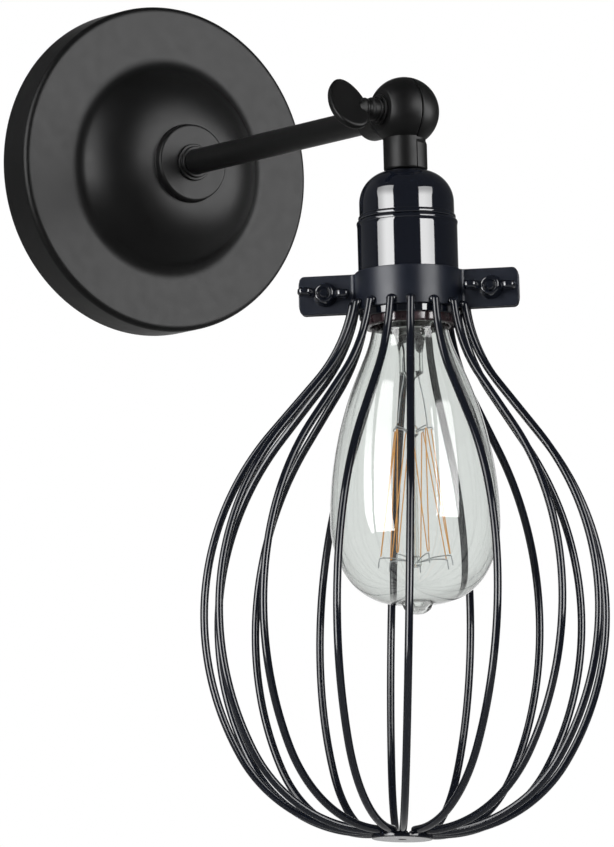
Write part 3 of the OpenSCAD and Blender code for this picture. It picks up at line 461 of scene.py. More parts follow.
def piece(name, shells, body, finish, node, sharp=40):
    """Joins shells of (points, quads) in millimetres into one mesh in metres, merges the poles,
    points its faces outwards, and hands it to its body in place of a CAD node. The matt black
    pieces also join the collection that the side light shines on."""
    offset, points, quads = 0, [], []
    for p, q in shells:
        points.append(p)
        quads.append(q + offset)
        offset += len(p)
    mesh = bpy.data.meshes.new(name)
    mesh.from_pydata((np.concatenate(points) / 1000).tolist(), [], np.concatenate(quads).tolist())
    bm = bmesh.new()
    bm.from_mesh(mesh)
    bmesh.ops.remove_doubles(bm, verts=bm.verts, dist=2e-7)
    bmesh.ops.recalc_face_normals(bm, faces=bm.faces)
    bm.to_mesh(mesh)
    bm.free()
    mesh.polygons.foreach_set("use_smooth", np.ones(len(mesh.polygons), bool))
    mesh.set_sharp_from_angle(angle=math.radians(sharp))
    mesh.materials.append(finishes_made()[finish])
    obj = bpy.data.objects.new(name, mesh)
    bpy.context.scene.collection.objects.link(obj)
    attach(obj, body)
    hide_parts(node)
    if finish == "matt":
        bpy.data.collections["side_lit"].objects.link(obj)


def head_piece(name, shells, *facts):
    """A piece of the lamp head, given in the head's own upright frame about the knuckle's
    centre. The frame leans out from the wall by a turn t about X: its y goes to
    (0, cos t, -sin t) and its z to (0, sin t, cos t)."""
    t = bpy.context.scene.wall_light_knuckle.head_lean
    axes = np.array([[1, 0, 0], [0, math.cos(t), -math.sin(t)], [0, math.sin(t), math.cos(t)]])
    piece(name, [placed(s, axes, PIVOT) for s in shells], *facts)


# ---------------------------------------------------------------- materials


class Finish:
    """One node material with a Principled shader, read on Object coordinates."""

    def __init__(self, name, colour, roughness, metallic=0.0):
        self.material = bpy.data.materials.new(name)
        self.material.use_nodes = True
        self.tree = self.material.node_tree
        self.shader = self.tree.nodes["Principled BSDF"]
        self.coords = self.tree.nodes.new("ShaderNodeTexCoord").outputs["Object"]
        self.set("Base Color", (*colour, 1))
        self.set("Roughness", roughness)
        self.set("Metallic", metallic)
        self.material.diffuse_color = (*colour, 1)

    def set(self, socket, value):
        self.shader.inputs[socket].default_value = value

    def node(self, kind, **values):
        """A new node with values on its sockets, whose names have _ in place of a space."""
        made = self.tree.nodes.new(kind)
        for key, value in values.items():
            made.inputs[key.replace("_", " ")].default_value = value
        return made

    def link(self, out, into):
        self.tree.links.new(out, into)

    def noise(self, scale, detail=3.0, rough=0.5, stretch=None):
        """Noise on Object coordinates; scale in features per metre."""
        tex = self.node("ShaderNodeTexNoise", Scale=scale, Detail=detail, Roughness=rough)
        source = self.coords
        if stretch:
            mapping = self.node("ShaderNodeMapping", Scale=stretch)
            self.link(source, mapping.inputs["Vector"])
            source = mapping.outputs["Vector"]
        self.link(source, tex.inputs["Vector"])
        return tex.outputs["Fac"]

    def mottle(self, source, one, other, start=0.3, stop=0.7):
        """Base colour between two colours, by a value."""
        ramp = self.node("ShaderNodeValToRGB")
        ramp.color_ramp.elements[0].position = start
        ramp.color_ramp.elements[1].position = stop
        ramp.color_ramp.elements[0].color = (*one, 1)
        ramp.color_ramp.elements[1].color = (*other, 1)
        self.link(source, ramp.inputs["Fac"])
        self.link(ramp.outputs["Color"], self.shader.inputs["Base Color"])

    def uneven_gloss(self, source, low, high):
        """Roughness from low to high, as a value goes from 0.3 to 0.7."""
        node = self.node("ShaderNodeMapRange", From_Min=0.3, From_Max=0.7, To_Min=low, To_Max=high)
        self.link(source, node.inputs["Value"])
        self.link(node.outputs["Result"], self.shader.inputs["Roughness"])

    def relief(self, sources, strength=1.0):
        """Bumps one after another; sources is a list of (value, depth in metres)."""
        normal = None
        for value, depth in sources:
            bump = self.node("ShaderNodeBump", Strength=strength, Distance=depth)
            self.link(value, bump.inputs["Height"])
            if normal:
                self.link(normal, bump.inputs["Normal"])
            normal = bump.outputs["Normal"]
        self.link(normal, self.shader.inputs["Normal"])


def scaled(colour, k):
    """A colour made k times as bright, up to white."""
    return tuple(min(1.0, c * k) for c in colour)


def powder_coat(finishes):
    """Fine-grained matt black powder coat: grain, faint clouding and uneven gloss."""
    f = Finish("matt_powder_coat", finishes.matt_black, finishes.matt_rough)
    f.set("Specular IOR Level", 0.1)
    f.mottle(f.noise(60, 4), scaled(finishes.matt_black, 0.9), scaled(finishes.matt_black, 1.12))
    f.uneven_gloss(f.noise(240, 3), finishes.matt_rough - 0.025, finishes.matt_rough + 0.03)
    f.relief([(f.noise(1700, 2), 0.000018), (f.noise(5200, 2), 0.000008)], 0.35)
    return f.material


def enamel(finishes, name, rough, waves, depth, specular=0.5):
    """Blue-black enamel: slow waves and dust-fine specks under an even gloss."""
    f = Finish(name, finishes.enamel, rough)
    f.set("Specular IOR Level", specular)
    f.mottle(f.noise(45, 3), scaled(finishes.enamel, 0.92), scaled(finishes.enamel, 1.1))
    f.uneven_gloss(f.noise(160, 2), rough * 0.9, rough * 1.12)
    f.relief([(f.noise(waves, 2, 0.4), depth), (f.noise(2600, 2), depth / 12)], 0.3)
    return f.material


def zinc_plate(name="zinc_plate", colour=(0.62, 0.64, 0.66)):
    """Bright zinc: spangle cells, brushed streaks and cloudy gloss."""
    f = Finish(name, colour, 0.3, 1.0)
    cells = f.node("ShaderNodeTexVoronoi", Scale=420)
    f.link(f.coords, cells.inputs["Vector"])
    f.mottle(cells.outputs["Color"], scaled(colour, 0.8), scaled(colour, 1.1), 0.1, 0.9)
    f.uneven_gloss(f.noise(700, 4, 0.6, (1, 1, 12)), 0.22, 0.42)
    f.relief([(f.noise(1500, 3, 0.6, (1, 1, 20)), 0.000012)], 0.6)
    return f.material


def pressed_brass(colour=(0.72, 0.48, 0.17)):
    """Pressed brass: warm clouding, drawing lines round the part and dull patches."""
    f = Finish("pressed_brass", colour, 0.3, 1.0)
    f.mottle(f.noise(240, 5), scaled(colour, 0.72), scaled(colour, 1.1))
    f.uneven_gloss(f.noise(520, 4), 0.2, 0.42)
    f.relief([(f.noise(1900, 3, 0.6, (1, 1, 25)), 0.00001)], 0.6)
    return f.material


def moulding(name, colour, rough, cloud=160, spread=0.25, grain=900):
    """Moulded plastic or resin: cloudy colour, fine grain and uneven gloss."""
    f = Finish(name, colour, rough)
    f.mottle(f.noise(cloud, 5, 0.6), scaled(colour, 1 - spread), scaled(colour, 1 + spread))
    f.uneven_gloss(f.noise(cloud * 2, 3), max(0.03, rough - 0.06), rough + 0.08)
    f.relief([(f.noise(grain, 3), 0.00002)], 0.5)
    return f.material


def blown_glass(finishes, name="blown_glass", rough=0.0):
    """Clear blown glass with a faint green tint, painted grey shade towards its outline and slow
    waves along the blow.
    """
    f = Finish(name, finishes.glass, rough)
    f.set("Transmission Weight", 1.0)
    f.set("IOR", 1.47)
    # painted shade: the colour darkens to 0.6 of the tint where the glass is seen edge-on, standing
    # in for the darker room reflected there
    edge = f.node("ShaderNodeLayerWeight", Blend=0.35)
    f.mottle(edge.outputs["Facing"], finishes.glass, scaled(finishes.glass, 0.6), 0.3, 0.95)
    f.relief([(f.noise(26, 2, 0.4, (1, 1, 0.35)), 0.0006)], 0.25)
    return f.material


FINISHES = {}


def finishes_made():
    """Every finish, made once and shared by the pieces that wear it."""
    colours = bpy.context.scene.wall_light_finishes
    if not FINISHES:
        FINISHES.update(
            matt=powder_coat(colours),
            enamel=enamel(colours, "blue_black_enamel", colours.enamel_rough, 240, 0.00003),
            wire=enamel(colours, "wire_enamel", colours.enamel_rough + 0.05, 200, 0.00001, 0.32),
            band=enamel(colours, "band_enamel", colours.band_rough, 150, 0.00001, 0.2),
            zinc=zinc_plate(),
            brass=pressed_brass(),
            earth_screw=zinc_plate("green_passivated", (0.12, 0.36, 0.16)),
            insulator=moulding("brown_resin", colours.insulator, 0.2, 220, 0.45),
            block=moulding("white_moulding", (0.76, 0.75, 0.7), 0.42, 90, 0.05),
            rubber=moulding("black_rubber", (0.016, 0.016, 0.016), 0.6, 300, 0.2),
            sleeve_dark=moulding("black_sleeve", (0.012, 0.012, 0.012), 0.38, 240, 0.2),
            sleeve_light=moulding("white_sleeve", colours.sleeve_light, 0.38, 240, 0.06),
            sleeve_earth=moulding("green_sleeve", colours.sleeve_earth, 0.38, 240, 0.12),
            glass=blown_glass(colours),
            stem_glass=blown_glass(colours, "stem_glass", 0.02),
            lamp_cap=zinc_plate("lamp_cap_metal", (0.7, 0.7, 0.68)),
            vitrite=moulding("black_vitrite", (0.008, 0.008, 0.01), 0.1, 300, 0.3),
            filament=golden_wire(colours),
        )
    return FINISHES


def golden_wire(finishes):
    """Golden filament: drawn wire with warm clouding and a faint painted glow, though the lamp is not
    lit.
    """
    f = Finish("golden_filament", finishes.filament, 0.35, 0.35)
    f.mottle(f.noise(900, 3), scaled(finishes.filament, 0.8), scaled(finishes.filament, 1.15))
    f.relief([(f.noise(6000, 2), 0.00002)], 0.5)
    # painted glow: a faint warm emission keeps the unlit filament showing
    f.set("Emission Color", (1.0, 0.45, 0.1, 1))
    f.set("Emission Strength", 0.22)
    return f.material


# ---------------------------------------------------------------- wall side


def canopy_profile(s):
    """Closed (r, h) section of the spun canopy: wall, rounded rim, flat, hollow foot, dome,
    boss, and back along the inside of the sheet.

    The dome is an arc that is tangent to the flank above the hollow foot and meets the boss's
    foot. With f the flank's unit normal, P its point on the foot's arc and d = P - boss, the
    radius is |d|^2 / (2 d.f) and the centre P - radius f. The inside is set in by the sheet."""
    t = s.sheet_t
    slope = math.radians(s.dome_flank)
    flank = np.array([math.sin(slope), math.cos(slope)])
    foot_c = np.array([s.dome_r, s.rim_depth + s.dome_foot])
    flank_p = foot_c - s.dome_foot * flank
    boss = np.array([s.boss_r, s.rim_depth + s.dome_h])
    chord = flank_p - boss
    dome = chord @ chord / (2 * chord @ flank)
    dome_c = flank_p - dome * flank
    start = 90 - s.dome_flank
    stop = math.degrees(math.atan2(*(boss - dome_c)[::-1]))
    top = boss[1] + s.boss_h
    bore = s.arm_r + 0.05
    rim = soften(
        [(s.canopy_r, 0.15, 0), (s.canopy_r, s.rim_depth, s.rim_round), (s.dome_r, s.rim_depth, 0)],
        closed=False,
        steps=10,
    )
    dome_line = arc(dome_c, dome, start, stop, 44)[1:-1]
    collar = soften(
        [
            (*dome_line[-1], 0),
            (*boss, 0.5),
            (s.boss_top_r + s.boss_edge, top, s.boss_edge),
            (bore, top, 0),
            (bore, top - t, 0),
            (s.boss_top_r - 0.4, top - t, 0.4),
            (s.boss_r - t, boss[1] - t, 0),
        ],
        closed=False,
        steps=8,
    )
    back_wall = soften(
        [
            (s.dome_r, s.rim_depth - t, 0),
            (s.canopy_r - t, s.rim_depth - t, s.rim_round - t),
            (s.canopy_r - t, 0.15, 0),
            (s.canopy_r - t + 0.15, 0.0, 0),
            (s.canopy_r - 0.15, 0.0, 0),
        ],
        closed=False,
    )
    return np.concatenate(
        [
            rim[:-1],
            arc(foot_c, s.dome_foot, 270, 180 + start, 18),
            dome_line[:-1],
            collar,
            arc(dome_c, dome - t, stop, start, 30)[:-1],
            arc(foot_c, s.dome_foot + t, 180 + start, 270, 14)[:-1],
            back_wall,
        ]
    )


class WALLLIGHT_OT_canopy(bpy.types.Operator):
    """Makes the domed canopy, its rim, flat, dome and boss, as one spun sheet"""

    bl_idname = "wall_light.canopy"
    bl_label = "Canopy"

    def execute(self, context):
        s = sizes("wall_side")
        shell = turned(canopy_profile(s), OUT_OF_WALL, count=192)
        piece("canopy_spun", [shell], "wall_side", "matt", "canopy")
        return {"FINISHED"}


class WALLLIGHT_OT_arm(bpy.types.Operator):
    """Makes the arm tube and the stepped collar at its foot"""

    bl_idname = "wall_light.arm"
    bl_label = "Arm and collar"

    def execute(self, context):
        s = sizes("wall_side")
        k = sizes("knuckle")
        edge, in_neck = 0.2, 9
        start, end = 0.6, -PIVOT[1] - k.neck_l + in_neck
        wall = ring_section(s.arm_r - s.arm_wall, s.arm_r, start, end, [edge] * 4, steps=3)
        piece("arm_pipe", [turned(wall, OUT_OF_WALL, count=64)], "wall_side", "matt", "arm_tube")
        foot = s.rim_depth + s.dome_h + s.boss_h
        step = foot + s.collar_step_h
        bore = s.arm_r + 0.05
        collar = soften(
            [
                (bore, foot, 0),
                (s.collar_r, foot, 0.15),
                (s.collar_r, step, 0.4),
                (s.collar_step_r, step, 0.15),
                (s.collar_step_r, step + s.collar_step_h, 0.4),
                (bore, step + s.collar_step_h, 0.1),
            ],
            steps=5,
        )
        shell = turned(collar, OUT_OF_WALL, count=96)
        piece("arm_collar_stepped", [shell], "wall_side", "matt", "arm_collar")
        return {"FINISHED"}


# ---------------------------------------------------------------- knuckle


def half_ball_profile(k, flat):
    """Closed (r, h) section of a half-ball about the screw's axis, h outwards from the seam:
    seam face, rounded seam edge, ball, and where flat < ball radius a flat with a soft edge."""
    edge = 0.35
    low = k.seam / 2
    a0 = math.degrees(math.asin((low + edge) / k.ball_r))
    a1 = math.degrees(math.asin(min(1.0, (flat - 0.12) / k.ball_r))) if flat < k.ball_r else 90
    ball = arc((0, 0), k.ball_r, a0, a1, 40)
    seam_r = math.sqrt(k.ball_r**2 - low**2)
    seam = soften(
        [(0, low, 0), (seam_r, low, edge * 1.2), (*ball[1], 0)], closed=False, steps=4
    )
    parts = [seam[:-1], ball[1:]]
    if flat < k.ball_r:
        rim = math.sqrt(k.ball_r**2 - flat**2)
        parts.append(np.array([(rim - 0.12, flat), (rim - 0.4, flat), (k.washer_r, flat), (0, flat)]))
    return np.concatenate(parts)


def neck_shells(k):
    """The neck as two half rounds, apart by the parting line, over a core that fills the line.

    The half beside its own half-ball (x < 0) runs into it. The other one stops under the
    second half-ball with a bevelled, hollow shoulder, h = -sqrt((ball + gap)^2 - r^2)."""
    gap_ball = k.ball_r + k.seam
    shoulder = -math.sqrt(gap_ball**2 - k.neck_r**2)
    bottom = [(k.neck_r, -k.neck_l, k.neck_bevel), (0, -k.neck_l, 0)]
    r = np.linspace(0, k.neck_r - 0.8, 7)
    hollow = np.column_stack([r, -np.sqrt(gap_ball**2 - r**2)])
    own = soften([(0, -4, 0), (k.neck_r, -4, 0)] + bottom, closed=False)
    far = soften(
        [
            (*hollow[-1], 0),
            (k.neck_r - 0.7, shoulder - 0.05, 0.5),
            (k.neck_r, shoulder - 1.9, 1.2),
            *bottom,
        ],
        closed=False,
    )
    far = np.concatenate([hollow[:-1], far])
    slit = math.degrees(k.seam / 2 / k.neck_r)
    columns = 49
    inset = np.array([1, 0.93, 1])
    shells = []
    for profile, span in ((own, (90 + slit, 270 - slit)), (far, (-90 + slit, 90 - slit))):
        pts, quads = turned(profile, count=columns, closed=False, span=span)
        shells.append((pts, quads))
        # the flat wall that closes a half round along the parting line
        rows = len(profile)
        grid = pts.reshape(rows, columns, 3)
        first, last = grid[:, 0], grid[:, -1]
        wall = np.stack([first, first * inset, last * inset, last], 1)
        shells.append((wall.reshape(-1, 3), grid_quads(rows, 4, wrap_cols=False)))
    core_r, core_top, core_end = k.neck_r - 0.45, -9, -k.neck_l + 0.15
    core = soften(
        [(0, core_top, 0), (core_r, core_top, 0), (core_r, core_end, 0.2), (0, core_end, 0)],
        closed=False,
    )
    shells.append(turned(core, count=64, closed=False))
    return shells


def half_knuckle(k, flat):
    """One half of the knuckle, with its half-ball towards -x and its neck pointing down."""
    return [turned(half_ball_profile(k, flat), TO_LEFT, count=128, closed=False)] + neck_shells(k)


class WALLLIGHT_OT_knuckle(bpy.types.Operator):
    """Makes the two halves of the ball knuckle with their necks and parting lines"""

    bl_idname = "wall_light.knuckle"
    bl_label = "Knuckle"

    def execute(self, context):
        k = sizes("knuckle")
        lamp = half_knuckle(k, k.flat_x)
        head_piece("knuckle_lamp_side", lamp, "head", "matt", "knuckle_lamp_half", 50)
        to_arm = np.array([[-1, 0, 0], [0, 0, 1], [0, -1, 0]], float)
        arm = [placed(s, to_arm, PIVOT) for s in half_knuckle(k, k.ball_r)]
        piece("knuckle_arm_side", arm, "wall_side", "matt", "knuckle_arm_half", 50)
        return {"FINISHED"}


class WALLLIGHT_OT_thumb_screw(bpy.types.Operator):
    """Makes the thumb screw with its dished oval paddle, and its two washers"""

    bl_idname = "wall_light.thumb_screw"
    bl_label = "Thumb screw and washers"

    def execute(self, context):
        k = sizes("knuckle")
        washer_t, spring_t = 1, 1.2
        flat = k.flat_x + 0.1
        spring = flat + washer_t
        hub = spring + spring_t
        bore = k.screw_r + 0.05
        washer = ring_section(bore, k.washer_r, flat, spring, (0.1, 0.25, 0.25, 0.1), steps=4)
        shell = turned(washer, TO_LEFT, PIVOT, 96)
        piece("washer_flat", [shell], "thumb_screw", "matt", "flat_washer")
        # the split washer: a square ring, rounded at its corners, open by a slit at the top
        bore, columns = k.screw_r + 0.1, 80
        ring = ring_section(bore, k.spring_r, 0, spring_t, (0.12, 0.25, 0.25, 0.12), steps=3)
        pts, _ = turned(ring, TO_LEFT, count=columns, span=(95, 445))
        grid = pts.reshape(len(ring), columns, 3)
        ends = np.stack([grid.mean(0)[[0, -1]]] * len(ring))
        closed = np.concatenate([ends[:, :1], grid, ends[:, 1:]], 1)
        pts = closed.reshape(-1, 3) + PIVOT + np.array([-spring, 0, 0])
        shell = (pts, grid_quads(len(ring), columns + 2, True, False))
        piece("washer_spring", [shell], "thumb_screw", "matt", "spring_washer")
        end = hub + k.hub_l
        turned_part = soften(
            [
                (0, -9.3, 0),
                (k.screw_r - 0.5, -9.3, 0),
                (k.screw_r, -8.8, 0),
                (k.screw_r, hub, 0),
                (k.hub_r - 0.1, hub, 0.2),
                (k.hub_r, hub + 2.2, 0.5),
                (k.hub_r - 0.95, hub + 3.0, 0.6),
                (k.hub_r - 0.95, hub + 3.9, 0.6),
                (k.hub_r - 0.1, end, 0.8),
                (1.6, end + 2.2, 1.5),
                (0, end + 2.4, 0),
            ],
            closed=False,
        )
        a = np.linspace(0, 2 * np.pi, 96, endpoint=False)
        narrowing = 1 - k.paddle_taper * np.sin(a)
        oval = np.column_stack(
            [k.paddle_l / 2 * np.cos(a) * narrowing, k.paddle_w / 2 * np.sin(a) + k.paddle_lift]
        )
        lean = math.radians(90 - k.paddle_turn)
        across = np.array([0, math.cos(lean), math.sin(lean)])
        axes = np.array([[1, 0, 0], across, np.cross([1, 0, 0], across)])
        in_hub, edge, dish = 1.4, 1.0, 0.45
        middle = PIVOT - np.array([end + k.paddle_l / 2 - in_hub, 0, 0])
        paddle = placed(plate(oval, k.paddle_t, edge, dish), axes, middle)
        stem = turned(turned_part, TO_LEFT, PIVOT, 64, closed=False)
        piece("thumb_screw_cast", [stem, paddle], "thumb_screw", "matt", "thumb_screw")
        return {"FINISHED"}


# ---------------------------------------------------------------- lampholder


def holder_levels():
    """Heights of the lampholder's and the guard's parts, from the holder's and band's sizes."""
    k = sizes("knuckle")
    h = sizes("holder")
    g = sizes("guard")
    z = SimpleNamespace(cap=-k.neck_l, shell_r=h.shell_r)
    z.ring = z.cap - h.cap_h
    z.shell = z.ring - h.ring_h
    z.shell_end = z.shell - h.shell_l
    z.insulator = z.shell - 2 * h.shell_round - 0.2
    z.insulator_end = z.shell_end - h.insulator_lip
    z.lamp = z.cap - h.lamp_seat
    z.tip = z.lamp - h.lamp_l
    z.lamp_rim = z.lamp - h.lamp_cap_l
    z.belly = z.tip + 34.6
    z.hook_top = z.belly + 34.5
    z.hook_low = z.belly - 15
    z.stem = z.belly + 56
    z.band = z.shell_end + g.band_up
    z.band_mid = z.band + g.band_h / 2
    z.weld = z.band + g.weld_rise
    return z


class WALLLIGHT_OT_lampholder(bpy.types.Operator):
    """Makes the lampholder's rounded cap, bead, long shell and brown insulator"""

    bl_idname = "wall_light.lampholder"
    bl_label = "Lampholder"

    def execute(self, context):
        h = sizes("holder")
        z = holder_levels()
        t = h.sheet_t
        bore = 5.05
        shoulder = (h.cap_r - h.cap_round, z.cap - h.cap_round)
        outer = arc(shoulder, h.cap_round, 90, 0, 28)
        inner = arc(shoulder, h.cap_round - t, 0, 90, 20)
        rim = soften(
            [
                (h.cap_r, z.ring + 0.9, 0),
                (h.cap_r, z.ring, 0.3),
                (h.cap_r - t, z.ring, 0.3),
                (h.cap_r - t, z.ring + 0.9, 0),
            ],
            closed=False,
            steps=4,
        )
        cap = np.concatenate(
            [
                [(bore, z.cap), (h.cap_r - h.cap_round - 0.3, z.cap)],
                outer,
                rim,
                inner,
                [(bore, z.cap - t)],
            ]
        )
        head_piece("holder_cap_spun", [turned(cap)], "head", "enamel", "holder_cap")

        sleeve = h.cap_r - t - 0.1
        bead = soften(
            [
                (sleeve - 1, z.ring + 2.5, 0.2),
                (sleeve, z.ring + 2.5, 0.2),
                (sleeve, z.ring, 0),
                (h.ring_r, z.ring, 0.75),
                (h.ring_r, z.shell, 0.75),
                (sleeve, z.shell, 0),
                (sleeve, z.shell - 2.5, 0.2),
                (sleeve - 1, z.shell - 2.5, 0.2),
            ],
            steps=6,
        )
        head_piece("holder_bead", [turned(bead)], "head", "enamel", "holder_ring")

        roll_x, roll_z = h.shell_r - h.shell_round + 0.2, z.shell - h.shell_round
        shell = np.concatenate(
            [
                [(sleeve + 0.1, z.shell - t), (sleeve + 0.1, z.shell)],
                arc((roll_x, roll_z), h.shell_round, 95, -25, 18),
                soften(
                    [
                        (h.shell_r, roll_z - 1.6, 0),
                        (h.shell_r, z.shell_end, 0.35),
                        (h.shell_r - t, z.shell_end, 0.35),
                        (h.shell_r - t, roll_z - 1.6, 0),
                    ],
                    closed=False,
                    steps=4,
                ),
                arc((roll_x, roll_z), h.shell_round - t, -25, 95, 10),
            ]
        )
        drawn = turned(shell, count=160)
        head_piece("holder_shell_drawn", [drawn], "head", "enamel", "holder_shell")

        r = h.shell_r - t - 0.2
        contact = z.insulator - 4
        hole = 2.05
        cup = soften(
            [
                (hole, z.insulator, 0),
                (r, z.insulator, 0.4),
                (r, z.insulator_end, 0.7),
                (h.insulator_bore_r, z.insulator_end, 0.7),
                (h.insulator_bore_r, contact, 0.3),
                (hole, contact, 0),
            ],
            steps=6,
        )
        shell = turned(cup)
        head_piece("holder_insulator_cup", [shell], "head", "insulator", "holder_insulator")
        return {"FINISHED"}


# ---------------------------------------------------------------- lamp


def glass_line(h, z, t):
    """The blown glass from neck to base, set in by t, as a chain of tangent arcs: hollow
    throat, slow side, belly and base round."""
    side, side_turn, throat, belly, belly_turn, base = 143, 23, 50, 37.6, 31.7, 23
    a, b = math.radians(side_turn), math.radians(belly_turn)
    side_c = np.array([h.lamp_r - side, z.belly])
    side_e = side_c + side * np.array([math.cos(a), math.sin(a)])
    slope = (side_e[0] - h.lamp_neck_r - throat * (1 - math.cos(a))) / math.sin(a)
    slope_e = side_e + slope * np.array([-math.sin(a), math.cos(a)])
    throat_c = slope_e + throat * np.array([math.cos(a), math.sin(a)])
    rim_turn = math.degrees(math.asin((throat_c[1] - z.lamp_rim) / throat))
    belly_c = np.array([h.lamp_r - belly, z.belly])
    base_c = belly_c + (belly - base) * np.array([math.cos(b), -math.sin(b)])
    return np.concatenate(
        [
            arc(throat_c, throat + t, 180 + rim_turn, 180 + side_turn, 16),
            arc(side_c, side - t, side_turn, 0, 40),
            arc(belly_c, belly - t, -2, -belly_turn, 16),
            arc(base_c, base - t, -belly_turn - 3, -90, 28),
        ]
    )


class WALLLIGHT_OT_lamp(bpy.types.Operator):
    """Makes the lamp's teardrop glass with its sealed tip, and its screw cap"""

    bl_idname = "wall_light.lamp"
    bl_label = "Lamp glass and cap"

    def execute(self, context):
        h = sizes("holder")
        z = holder_levels()
        outer, inner = glass_line(h, z, 0), glass_line(h, z, h.glass_t)
        base = outer[-1, 1]
        drop = base - z.tip
        # the sealed tip: a hollow foot that runs out of the flat, then a round drop
        tip = soften(
            [
                (outer[-1, 0], base, 0),
                (5.9, base - 0.05, 1.6),
                (4.9, base - drop * 0.62, 1.8),
                (2.6, z.tip, 2.6),
                (0, z.tip, 0),
            ],
            closed=False,
            steps=8,
        )
        dimple = soften(
            [
                (0, base - drop * 0.55, 0),
                (2.4, base - drop * 0.35, 1.2),
                (3.9, base + h.glass_t, 1.2),
                (inner[-1, 0], base + h.glass_t, 0),
            ],
            closed=False,
        )
        profile = np.concatenate([outer, tip[1:], dimple[:-1], inner[::-1]])
        blown = turned(profile, count=160)
        head_piece("lamp_glass_blown", [blown], "bulb", "glass", "bulb_glass", 60)

        # the cap's thread is a real helix: r = crest + wave(height + pitch * turn)
        pitch, wave, top = 3.63, 0.45, z.lamp - 4.5
        n = 96
        a = np.linspace(0, 2 * np.pi, n, endpoint=False)[None]
        height = np.linspace(top - 1.8, z.lamp_rim + 3, 90)[:, None]
        fade = np.clip(np.minimum(top - 1.8 - height, height - z.lamp_rim - 3) / 1.6, 0, 1)
        r = h.lamp_cap_r - wave + wave * fade * (0.5 + 0.5 * np.cos(2 * np.pi * height / pitch + a))
        body = np.stack([r * np.cos(a), r * np.sin(a), height + 0 * a], -1)

        def ring(radius, level):
            return np.stack([radius * np.cos(a), radius * np.sin(a), level + 0 * a], -1)

        crest = h.lamp_cap_r - wave
        above = [
            (7.6, top - 0.4),
            (7.6, top),
            (8.6, top),
            (crest - 1.6, top - 0.35),
            (crest - 0.4, top - 1.0),
        ]
        below = [
            (h.lamp_cap_r - 0.3, z.lamp_rim + 2),
            (h.lamp_cap_r, z.lamp_rim + 1.2),
            (h.lamp_cap_r, z.lamp_rim),
            (h.lamp_cap_r - 0.5, z.lamp_rim),
            (crest - 0.6, z.lamp_rim + 2.5),
            (crest - 0.6, top - 2),
        ]
        grid = np.concatenate([ring(*p) for p in above] + [body] + [ring(*p) for p in below])
        shell = (grid.reshape(-1, 3), grid_quads(len(grid), n, wrap_rows=True))
        head_piece("lamp_cap_threaded", [shell], "bulb", "lamp_cap", "bulb_cap", 60)
        return {"FINISHED"}


def smooth_route(points, per=5):
    """A smooth route through points (Catmull-Rom): between p1 and p2 it is
    0.5 (2 p1 + (p2 - p0) s + (2 p0 - 5 p1 + 4 p2 - p3) s^2 + (3 p1 - p0 - 3 p2 + p3) s^3)."""
    p = np.asarray(points, float)
    p = np.concatenate([[2 * p[0] - p[1]], p, [2 * p[-1] - p[-2]]])
    s = np.linspace(0, 1, per, endpoint=False)[None, :, None]
    p0, p1, p2, p3 = (p[i : len(p) - 3 + i][:, None] for i in range(4))
    square, cube = 2 * p0 - 5 * p1 + 4 * p2 - p3, 3 * p1 - p0 - 3 * p2 + p3
    q = 0.5 * (2 * p1 + (p2 - p0) * s + square * s**2 + cube * s**3)
    return np.concatenate([q.reshape(-1, 3), p[-2:-1]])


def on_ring(r, degrees, level):
    """The point at radius r and an angle about the upright, at a height."""
    a = math.radians(degrees)
    return np.array([r * math.cos(a), r * math.sin(a), level])


